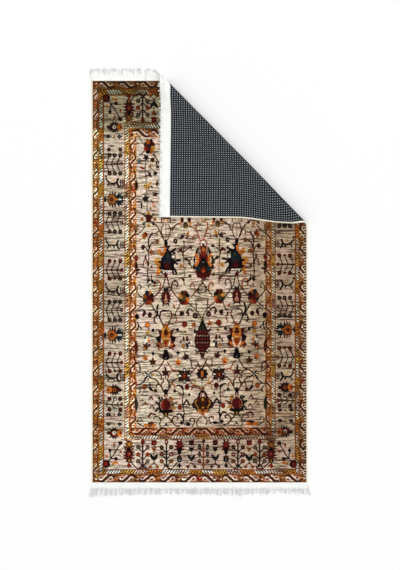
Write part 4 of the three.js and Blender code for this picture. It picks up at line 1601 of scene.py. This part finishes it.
def relief(rows, columns):
    """How far each corner of a knot stands over the middle of the pile, in rows that wave a little."""
    rough = rng.normal(0, RELIEF["rough"], (rows, columns))
    wave = RELIEF["wave"] * np.sin(np.arange(rows) * RELIEF["turn of a row"])[:, None]
    return np.clip(rough + wave - RELIEF["worn"], *RELIEF["kept between"])


def face_cloths(cartoon, colours, material):
    """The woven face in some lengths, one knot a cell, so that no piece has too many faces."""
    rows, columns = cartoon.knots.shape
    u = lines_over(FACE_WIDTH, columns)
    v = lines_over(FACE_LENGTH, rows)
    heights = RUG_THICKNESS + relief(rows + 1, columns + 1)
    cuts = np.linspace(0, rows, FACE_PARTS + 1).round().astype(int)
    pieces = []
    for part, (start, end) in enumerate(zip(cuts, cuts[1:])):
        flat_u, flat_v = np.meshgrid(u, v[start : end + 1])
        top = np.stack([flat_u, flat_v, heights[start : end + 1]], axis=-1).reshape(-1, 3)
        rim = rim_of(*flat_u.shape)
        layout = np.concatenate([top, top[rim] * (1, 1, 0) + (0, 0, PILE_FOOT)])
        wall = wall_quads(rim, np.arange(len(rim)) + len(top))
        # Only the face's own edges have a wall, not the cuts between its lengths
        middles = (layout[wall[:, 3], :2] + layout[wall[:, 2], :2]) / 2
        outer = (np.abs(middles) > (FACE_WIDTH / 2 - 0.1, FACE_LENGTH / 2 - 0.1)).any(axis=1)
        quads = np.concatenate([grid_quads(*flat_u.shape), wall[outer]])
        shares = (layout[:, :2] - (-FACE_WIDTH / 2, v[start])) / (FACE_WIDTH, v[end] - v[start])
        bake = shares * (1 - 2 * BAKE_MARGIN) + BAKE_MARGIN
        bake[len(top):] += np.sign(bake[len(top):] - 0.5) * BAKE_WALL
        name = f"face_cloth_{part + 1}"
        mesh = mesh_from(name, folded(*layout.T), quads, layout, bake)
        yarn = np.ones((len(quads), 4))
        knots = (end - start) * columns
        yarn[:knots, :3] = colours[start:end].reshape(-1, 3)
        yarn[knots:, :3] = linear(YARNS["umber"])
        kept = mesh.attributes.new("yarn", "FLOAT_COLOR", "CORNER")
        kept.data.foreach_set("color", np.repeat(yarn, 4, axis=0).astype(np.float32).ravel())
        pieces.append(new_object(name, mesh, material))
    return pieces


# What repeats along an edge or over a surface is grown by Geometry Nodes on points, and kept
# as a plain mesh
def points_mesh(name, places, edges=(), **vectors):
    """Points in metres, joined by edges where there are any, with a vector or number for each."""
    mesh = bpy.data.meshes.new(name)
    mesh.from_pydata(places.reshape(-1, 3).tolist(), edges, [])
    for label, values in vectors.items():
        is_vector = values.ndim > 1
        kept = mesh.attributes.new(label, "FLOAT_VECTOR" if is_vector else "FLOAT", "POINT")
        kept.data.foreach_set("vector" if is_vector else "value", values.astype(np.float32).ravel())
    return mesh


def paths_mesh(name, paths, **values):
    """Points of the flat layout, a row for each path, folded and joined along it."""
    number = np.arange(paths[..., 0].size).reshape(paths.shape[:2])
    edges = np.stack([number[:, :-1], number[:, 1:]], axis=-1).reshape(-1, 2).tolist()
    return points_mesh(name, folded(*paths.reshape(-1, 3).T), edges, **values)


def new_tree(name, **sockets):
    """A tree of Geometry Nodes with its inputs named, the last one for a material."""
    tree = bpy.data.node_groups.new(name, "GeometryNodeTree")
    tree.interface.new_socket("Geometry", in_out="INPUT", socket_type="NodeSocketGeometry")
    for label, kind in {**sockets, "Material": "Material"}.items():
        tree.interface.new_socket(label, in_out="INPUT", socket_type="NodeSocket" + kind)
    tree.interface.new_socket("Geometry", in_out="OUTPUT", socket_type="NodeSocketGeometry")
    return tree, add_node(tree, "NodeGroupInput")


def end_tree(tree, given, geometry):
    """The last nodes of each tree: one real mesh, shaded smooth, in one material."""
    real = add_node(tree, "GeometryNodeRealizeInstances", (geometry,))[0]
    smooth = add_node(tree, "GeometryNodeSetShadeSmooth", (real,))[0]
    finished = add_node(tree, "GeometryNodeSetMaterial", {"Geometry": smooth, "Material": given["Material"]})
    add_node(tree, "NodeGroupOutput", (finished[0],))


def grown(mesh, tree, **values):
    """Runs a tree on a mesh of points and keeps what it makes."""
    piece = bpy.data.objects.new(mesh.name, mesh)
    bpy.context.scene.collection.objects.link(piece)
    modifier = piece.modifiers.new(tree.name, "NODES")
    modifier.node_group = tree
    for item in tree.interface.items_tree:
        if item.name in values:
            modifier[item.identifier] = values[item.name]
    graph = bpy.context.evaluated_depsgraph_get()
    made = bpy.data.meshes.new_from_object(piece.evaluated_get(graph), depsgraph=graph)
    made.name = mesh.name
    piece.modifiers.clear()
    piece.data = made
    return piece


def unit(vectors):
    return vectors / np.linalg.norm(vectors, axis=-1, keepdims=True)


def printed_dot_field(material):
    """The rubber dots of the flap and the fold. Those on the floor are drawn by the felt's material."""
    tree, given = new_tree("dot_field", Radius="Float", Top="Float", Height="Float")
    cone = add_node(tree, "GeometryNodeMeshCone", {
        "Vertices": 8, "Radius Top": given["Top"], "Radius Bottom": given["Radius"],
        "Depth": given["Height"],
    })[0]
    outward = add_node(tree, "GeometryNodeInputNamedAttribute", ("outward",), data_type="FLOAT_VECTOR")[0]
    turned = add_node(tree, "FunctionNodeAlignRotationToVector", {"Vector": outward})[0]
    placed = add_node(tree, "GeometryNodeInstanceOnPoints", {
        "Points": given["Geometry"], "Instance": cone, "Rotation": turned})[0]
    end_tree(tree, given, placed)

    sides = []
    for pitch, span in zip(DOT_PITCH, (FACE_WIDTH, FACE_LENGTH)):
        count = math.floor((span / 2 - DOT["radius"]) / pitch + 0.5)
        sides.append((np.arange(-count, count) + 0.5) * pitch)
    u, v = [grid.ravel() for grid in np.meshgrid(*sides)]
    # No dots stand on the tight bend of the fold: its bare dark felt is painted shade along the crease
    beyond_shaded_bend = past_fold(u, v) > BARE_LENGTH
    u, v = u[beyond_shaded_bend], v[beyond_shaded_bend]
    places = folded(u, v, 0)
    outward = unit(folded(u, v, -1) - places)
    points = points_mesh("printed_dots", places - outward * DOT["sunk"] / METRE, outward=outward)
    return grown(
        points, tree, Radius=DOT["radius"] / METRE, Top=DOT["top"] / METRE, Height=DOT["height"] / METRE,
        Material=material)


def swept_strip(name, sections, material):
    """A strip over cross sections given as rows of points of the flat layout, anticlockwise seen
    from the start of the strip, with both ends closed."""
    rows, sides, _ = sections.shape
    number = np.arange(rows * sides).reshape(rows, sides)
    after = np.roll(number, -1, axis=1)
    quads = np.stack([number[:-1], after[:-1], after[1:], number[1:]], axis=-1).reshape(-1, 4)
    low = np.arange(sides // 2 - 1)
    ladder = np.stack([low, low + 1, sides - 2 - low, sides - 1 - low], axis=-1)
    quads = np.concatenate([quads, number[0][ladder[:, ::-1]], number[-1][ladder]])
    layout = sections.reshape(-1, 3)
    return new_object(name, mesh_from(name, folded(*layout.T), quads, layout), material)


def arc_tree(name, steps, start, sweep):
    """A tree that sets an arc of yarn on each point, by the point's own directions. The arc has
    some steps, and starts at and sweeps over an angle."""
    tree, given = new_tree(name, Radius="Float", Yarn="Float", Stretch="Vector")
    arc = add_node(tree, "GeometryNodeCurveArc", {
        "Resolution": steps, "Radius": given["Radius"], "Start Angle": start, "Sweep Angle": sweep})[0]
    ring = add_node(tree, "GeometryNodeCurvePrimitiveCircle", {"Resolution": 4, "Radius": given["Yarn"]})[0]
    tube = add_node(tree, "GeometryNodeCurveToMesh", {
        "Curve": arc, "Profile Curve": ring, "Fill Caps": True})[0]
    directions = [
        add_node(tree, "GeometryNodeInputNamedAttribute", (label,), data_type="FLOAT_VECTOR")[0]
        for label in ("along", "outward")
    ]
    turned = add_node(
        tree, "FunctionNodeAxesToRotation", directions, primary_axis="Z", secondary_axis="X")[0]
    placed = add_node(tree, "GeometryNodeInstanceOnPoints", {
        "Points": given["Geometry"], "Instance": tube, "Rotation": turned, "Scale": given["Stretch"]})[0]
    end_tree(tree, given, placed)
    return tree


def directions_at(u, v, w, top, out):
    """Where points of the layout lie once folded, and what is then up, out and along the edge."""
    place = folded(u, v, w)
    upward = unit(folded(u, v, top) - place)
    outward = unit(folded(u + out[0], v + out[1], w) - place)
    return place, upward, outward, np.cross(outward, upward)


def edge_binding(side, material):
    """An overlocked edge: a padded strip, with yarn turned round it close together."""
    name = "right" if side > 0 else "left"
    out, height = np.array([
        # out from the cloth's edge, height
        (0.3, 0.35), (4.3, 0.35), (5.5, 1.3), (5.6, 2.4), (5.5, 3.5), (4.3, 4.45), (1.7, 4.5), (0.3, 4.45),
    ]).T
    v = np.linspace(-RUG_LENGTH / 2, RUG_LENGTH / 2, BINDING_SECTIONS)[:, None]
    sections = np.stack(np.broadcast_arrays(side * (FACE_WIDTH / 2 + out), v, height), axis=-1)
    core = swept_strip(f"binding_core_{name}", sections[:, ::-side], material)

    count = round(RUG_LENGTH / TURN["pitch"])
    v = (np.arange(count) + 0.5) / count * RUG_LENGTH - RUG_LENGTH / 2
    u = side * (RUG_WIDTH / 2 - TURN["middle"])
    middle, upward, outward, along = directions_at(u, v, RUG_THICKNESS / 2, RUG_THICKNESS, (side, 0))
    points = points_mesh(
        f"binding_turns_{name}", middle, outward=outward, along=unit(along + TURN["lean"] * upward))
    turns = grown(
        points, arc_tree("overlock_turns", 6, -2, 4), Radius=(RUG_THICKNESS / 2 - TURN["yarn"]) / METRE,
        Yarn=TURN["yarn"] / METRE, Stretch=(TURN["middle"] / (RUG_THICKNESS / 2), 1, TURN["spread"]),
        Material=material)
    return core, turns


def wave(shape, k):
    return shape["size"] * np.sin(shape["quick"] * k) * np.cos(shape["slow"] * k)


# A strand on the flap comes down beside the cloth's edge and ends level on the face
RESTING_TOP = FLAP_NEUTRAL + NEUTRAL - RUG_THICKNESS - PARTING
LONGEST_STRAND = max(TOP_REACH["reach"]) + REACH_WAVE["size"]
STRAND_LENGTH = 45
TOP_PARTING = (FOLD_START - AWAY[1] * (RUG_LENGTH / 2 + LONGEST_STRAND)) / AWAY[0] - STRAND["root"]


def lying_on_face(u, v):
    """1 where the layout lies on the face once folded, 0 where it lies on the floor."""
    return smoothstep(past_fold(u, v), FOLD_LENGTH / 2, FOLD_LENGTH)


def resting_height(u, v, share, thickness):
    """How far a fringe's underside lies over the flat layout's floor, at a share of its length."""
    return np.minimum(share / LANDING_SHARE, 1) * (RESTING_TOP - thickness) * lying_on_face(u, v)


def strand_thickness(share):
    return HEADING["front"] + (STRAND["thickness"] - HEADING["front"]) * share


def fringe_paths(end, start, stop, reaches, flares):
    """Points of the flat layout along each strand's middle, and the strand's thickness there."""
    pitch = RUG_WIDTH / STRANDS_AT_EACH_END
    count = round((stop - start) / pitch)
    width = (stop - start + pitch - STRAND["root"]) / count
    k = np.arange(count)
    middle = start + k * width + STRAND["root"] / 2
    near_edge = smoothstep(np.abs(middle), RUG_WIDTH / 2 - FLARE_REACH, RUG_WIDTH / 2)
    clump = np.floor(k / CLUMP["strands"]).astype(int)
    gather = (start + (clump + 0.5) * CLUMP["strands"] * width - middle) * CLUMP["gather"]
    lean = near_edge * np.where(middle < 0, -flares[0], flares[1]) + wave(LEAN_WAVE, k)
    clump_lean = rng.normal(0, CLUMP["lean"], clump.max() + 1)[clump]
    lean = lean + gather + clump_lean * (1 - near_edge)
    ragged = rng.normal(0, CLUMP["ragged"], clump.max() + 1)[clump]
    reach = np.interp(middle, reaches["at"], reaches["reach"]) + wave(REACH_WAVE, k) + ragged
    share = np.linspace(0, 1, STRAND_POINTS)
    u = middle[:, None] + lean[:, None] * share
    root = HEADING["width"] - 1
    v = end * (RUG_LENGTH / 2 + root + (reach[:, None] - root) * share)
    thickness = strand_thickness(share)
    lift = rng.random((count, 1)) * TIP_LIFT * share**2 * (1 - 2 * lying_on_face(u, v))
    w = resting_height(u, v, share, thickness) + thickness / 2 + lift
    return np.stack([u, v, w], axis=-1), np.broadcast_to(thickness, u.shape)


def above_floor(tree, geometry, floor):
    """Keeps every point of a geometry at or over a height."""
    place = add_node(tree, "GeometryNodeInputPosition")[0]
    x, y, z = add_node(tree, "ShaderNodeSeparateXYZ", (place,))
    kept = add_node(tree, "ShaderNodeMath", (z, floor), operation="MAXIMUM")[0]
    raised = add_node(tree, "ShaderNodeCombineXYZ", (x, y, kept))[0]
    return add_node(tree, "GeometryNodeSetPosition", {"Geometry": geometry, "Position": raised})[0]


def loose_yarns(name, layout, thicknesses, material):
    """Single yarns that have come untwisted, beside and between the strands."""
    tree, given = new_tree("loose_yarns", Yarn="Float", Floor="Float")
    curve = add_node(tree, "GeometryNodeMeshToCurve", (given["Geometry"],))[0]
    ring = add_node(tree, "GeometryNodeCurvePrimitiveCircle", {"Resolution": 3, "Radius": given["Yarn"]})[0]
    tube = add_node(tree, "GeometryNodeCurveToMesh", {"Curve": curve, "Profile Curve": ring})[0]
    end_tree(tree, given, above_floor(tree, tube, given["Floor"]))

    each = LOOSE["to each strand"]
    picked = [0, 3, 6, 9, 12, STRAND_POINTS - 1]
    places = np.repeat(layout[:, picked], each, axis=0)
    room = np.repeat(thicknesses[:, picked], each, axis=0) - LOOSE["thickness"]
    one_each = (len(places), 1)
    share = np.linspace(0, 1, len(picked))
    root = places[:, :1, 1]
    scatter, sway = rng.normal(0, LOOSE["scatter"], one_each), rng.normal(0, LOOSE["sway"], one_each)
    places[..., 0] += scatter + sway * share**2
    places[..., 1] = root + (places[..., 1] - root) * rng.uniform(*LOOSE["reach"], one_each)
    places[..., 2] += (rng.random(one_each) - 0.5) * room
    return grown(
        paths_mesh(name, places), tree, Yarn=LOOSE["thickness"] / 2 / METRE, Floor=OFF_FLOOR / METRE,
        Material=material)


def twisted_strands(name, layout, thicknesses, material):
    """Strands of cotton in two plies, loosely twisted, thinner towards their tips."""
    tree, given = new_tree("twisted_strands", Lay="Float", Floor="Float")
    curve = add_node(tree, "GeometryNodeMeshToCurve", (given["Geometry"],))[0]
    normal = add_node(tree, "GeometryNodeInputNormal")[0]
    tangent = add_node(tree, "GeometryNodeInputTangent")[0]
    side = add_node(tree, "ShaderNodeVectorMath", (tangent, normal), operation="CROSS_PRODUCT")[0]
    run = add_node(tree, "GeometryNodeSplineParameter")["Length"]
    start, thickness = [
        add_node(tree, "GeometryNodeInputNamedAttribute", (label,), data_type="FLOAT")[0]
        for label in ("start", "thickness")
    ]
    twisted = add_node(tree, "ShaderNodeMath", (run, given["Lay"]), operation="DIVIDE")[0]
    turns = add_node(tree, "ShaderNodeMath", (twisted, start), operation="ADD")[0]
    plies = []
    for ply in (0, 0.5):
        turn = add_node(tree, "ShaderNodeMath", (turns, ply), operation="ADD")[0]
        angle = add_node(tree, "ShaderNodeMath", (turn, 2 * math.pi), operation="MULTIPLY")[0]
        parts = []
        for axis, function in ((normal, "COSINE"), (side, "SINE")):
            share = add_node(tree, "ShaderNodeMath", (angle,), operation=function)[0]
            length = add_node(tree, "ShaderNodeMath", (share, thickness), operation="MULTIPLY")[0]
            parts.append(add_node(
                tree, "ShaderNodeVectorMath", {0: axis, "Scale": length}, operation="SCALE")[0])
        offset = add_node(tree, "ShaderNodeVectorMath", parts, operation="ADD")[0]
        quarter = add_node(tree, "ShaderNodeVectorMath", {0: offset, "Scale": 0.25}, operation="SCALE")[0]
        wound = add_node(tree, "GeometryNodeSetPosition", {"Geometry": curve, "Offset": quarter})[0]
        ring = add_node(tree, "GeometryNodeCurvePrimitiveCircle", {"Resolution": 5, "Radius": 0.3})[0]
        plies.append(add_node(tree, "GeometryNodeCurveToMesh", {
            "Curve": wound, "Profile Curve": ring, "Scale": thickness, "Fill Caps": True})[0])
    joined = add_node(tree, "GeometryNodeJoinGeometry", (plies,))[0]
    end_tree(tree, given, above_floor(tree, joined, given["Floor"]))

    strands, steps, _ = layout.shape
    starts = np.repeat(rng.random(strands), steps)
    points = paths_mesh(name, layout, thickness=thicknesses.ravel() / METRE, start=starts)
    return grown(points, tree, Lay=TWIST_LAY / METRE, Floor=OFF_FLOOR / METRE, Material=material)


def heading_strip(name, end, start, stop, material):
    """The woven end that holds the strands' roots, whipped to the cloth's edge."""
    woven = WOVEN_ENDS[end]
    out, height = np.array([
        # out from the cloth's edge, height
        (0.3, 0.05), (8, 0.05), (16, 0.05), (woven - 1, 0.05), (woven, 0.9), (woven - 1, 1.9),
        (16, 2.9), (9.5, 3.3), (8, 3.7), (6.5, 4.1), (2, 4.3), (0.3, 4),
    ]).T
    share = np.clip((out - HEADING["width"]) / (STRAND_LENGTH - HEADING["width"]), 0, 1)
    across = np.linspace(start, stop, round((stop - start) / HEADING["cell"]) + 1)[:, None]
    u, v = np.broadcast_arrays(across, end * (RUG_LENGTH / 2 + out))
    resting = resting_height(u, v, share, strand_thickness(share))
    sections = np.stack([u, v, resting + height], axis=-1)
    core = swept_strip(f"{name}_heading", sections[:, ::-end], material)

    run = stop - start - 2 * STITCH["inset"]
    count = math.floor(run / STITCH["pitch"])
    u = start + STITCH["inset"] + (np.arange(count) + 0.5) / count * run
    v = end * (RUG_LENGTH / 2 + HEADING["width"] / 2)
    middle, upward, outward, along = directions_at(u, v, STITCH["foot"], STITCH["foot"] + 1, (0, end))
    skewed = unit(outward + STITCH["lean"] * along)
    points = points_mesh(f"{name}_stitches", middle, outward=skewed, along=unit(np.cross(skewed, upward)))
    sewn = grown(
        points, arc_tree("whip_stitches", 5, 0.25, 2.64), Yarn=STITCH["yarn"] / METRE,
        Radius=(HEADING["width"] / 2 - STITCH["yarn"]) / METRE,
        Stretch=(1, STITCH["rise"], STITCH["spread"]), Material=material)
    return core, sewn


def patches(rows, columns, size):
    """Smooth unevenness with a deviation of about 1, in patches of some number of knots."""
    coarse = rng.normal(0, 1, (rows // size + 2, columns // size + 2))
    down = np.linspace(0, coarse.shape[0] - 1, rows)
    over = np.linspace(0, coarse.shape[1] - 1, columns)
    tall = np.array([np.interp(down, np.arange(len(line)), line) for line in coarse.T])
    return np.array([np.interp(over, np.arange(len(line)), line) for line in tall.T])


def streaks(rows, columns, reach, height):
    """Unevenness with a deviation of 1, in streaks across the rug of some knots' reach and height."""
    fine = rng.normal(0, 1, (rows // height + 1, columns + 2 * reach))
    window = np.hanning(reach + 2)
    smooth = np.array([np.convolve(row, window / np.linalg.norm(window), "same") for row in fine])
    return np.repeat(smooth, height, axis=0)[:rows, reach : reach + columns]


def knot_colours(cartoon):
    """Each knot's own colour, as linear numbers: its yarn, uneven dye, and the aged look of a face
    whose ground is crossed by darker passes of the shuttle."""
    palette = np.array([linear(colour) for colour in YARNS.values()])
    colours = palette[cartoon.knots]
    rows, columns = cartoon.knots.shape
    u = (np.arange(columns) + 0.5) * KNOT - FACE_WIDTH / 2
    v = (np.arange(rows)[:, None] + 0.5) * KNOT - FACE_LENGTH / 2

    leaning = smoothstep(patches(rows, columns, PATCH_KNOTS), -1, 1)[..., None]
    pinker, golder = np.array(PATCH_TINTS)
    colours = colours * (pinker * leaning + golder * (1 - leaning))
    pale = colours.mean(axis=-1) > PALE
    worn = smoothstep(patches(rows, columns, WORN["knots"]), *WORN["from and to"])
    passes = sum(streaks(rows, columns, reach, height) * weight for reach, height, weight in PASS_STREAKS)
    passes = passes + worn * WORN["weight"]
    share = smoothstep(passes, *PASSES_SHOW) * np.where(pale, PASS_SHARE["ground"], PASS_SHARE["motif"])
    colours = colours + (np.minimum(linear(PASS_COLOUR), colours) - colours) * share[..., None]
    for kept, across, along, soft in ZONE_FACTORS:
        in_zone = 1
        for place, (start, end) in ((u, across), (v, along)):
            in_zone = in_zone * smoothstep(place, start - soft, start + soft)
            in_zone = in_zone * (1 - smoothstep(place, end - soft, end + soft))
        colours = colours * (1 - in_zone[..., None] * (1 - np.array(kept)))
    middle = linear(DYE_MIDDLE)
    colours = middle * (colours / middle) ** np.array(DYE_DEPTH)
    grain = streaks(rows, columns, *GRAIN["streak"]) * np.where(pale, GRAIN["ground"], GRAIN["motif"])
    grain = grain + rng.normal(0, GRAIN["knot"], (rows, columns))
    return colours * np.exp(grain[..., None])


# Everything is made here, in its place
cartoon = woven_cartoon()
pile = woven_pile()
felt = felted_backing()
latex = printed_dots()
overlock = overlock_yarn()
web = cotton_web()
cotton = cotton_fringe()

faces = face_cloths(cartoon, knot_colours(cartoon), pile)
backing = backing_cloth(felt)
dots = printed_dot_field(latex)
left_edge = edge_binding(-1, overlock)
right_edge = edge_binding(1, overlock)
ENDS = {
    "fringe_bottom": (-1, -RUG_WIDTH / 2, RUG_WIDTH / 2, BOTTOM_REACH, BOTTOM_FLARES),
    "fringe_top_flat": (1, -RUG_WIDTH / 2, TOP_PARTING, TOP_REACH, TOP_FLARES),
    "fringe_top_folded": (1, TOP_PARTING + PARTING, RUG_WIDTH / 2, TOP_REACH, TOP_FLARES),
}
fringes = {}
for node, (end, start, stop, reaches, flares) in ENDS.items():
    layout, thicknesses = fringe_paths(end, start, stop, reaches, flares)
    strands = twisted_strands(f"{node}_strands", layout, thicknesses, cotton)
    loose = loose_yarns(f"{node}_loose_yarns", layout, thicknesses, cotton)
    fringes[node] = [*heading_strip(node, end, start, stop, web), strands, loose]

floor_mesh = bpy.data.meshes.new("floor")
corners = [(x * FLOOR_HALF, y * FLOOR_HALF, -FLOOR_DROP) for x, y in ((-1, -1), (1, -1), (1, 1), (-1, 1))]
floor_mesh.from_pydata(corners, [], [(0, 1, 2, 3)])
floor = new_object("floor", floor_mesh, painted_floor())

world = bpy.data.worlds.new("studio")
world.use_nodes = True
background = world.node_tree.nodes["Background"]
background.inputs["Color"].default_value = (1, 1, 1, 1)
background.inputs["Strength"].default_value = SKY_STRENGTH
bpy.context.scene.world = world

light = bpy.data.lights.new("key_light", "AREA")
light.shape = "SQUARE"
light.size = LAMP["size"]
light.energy = LAMP["power"]
lamp = bpy.data.objects.new("key_light", light)
lamp.location = LAMP["place"]
lamp.rotation_mode = "QUATERNION"
lamp.rotation_quaternion = (-lamp.location).to_track_quat("-Z", "Y")
bpy.context.scene.collection.objects.link(lamp)

camera_data = bpy.data.cameras.new("photo_camera")
camera_data.lens = LENS
camera_data.sensor_width = SENSOR
camera_data.clip_end = 50
camera = bpy.data.objects.new("photo_camera", camera_data)
distance = PHOTO_LENGTH * LENS / SENSOR
camera.location = (PHOTO_MIDDLE[0] / METRE, PHOTO_MIDDLE[1] / METRE, (RUG_THICKNESS + distance) / METRE)
bpy.context.scene.collection.objects.link(camera)
bpy.context.scene.camera = camera
bpy.context.scene.view_settings.view_transform = "Standard"

# The parts of model.glb that the pieces stand for are hidden, and the pieces are attached to the root body
for face in faces:
    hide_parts("pile_face")
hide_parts("backing")
for pieces, node in ((left_edge, "binding_left"), (right_edge, "binding_right")):
    for piece in pieces:
        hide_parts(node)
for node, pieces in fringes.items():
    for piece in pieces:
        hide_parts(node)
edge_pieces = [*left_edge, *right_edge, *(piece for pieces in fringes.values() for piece in pieces)]
for piece in [*faces, backing, dots, *edge_pieces]:
    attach(piece, "root")
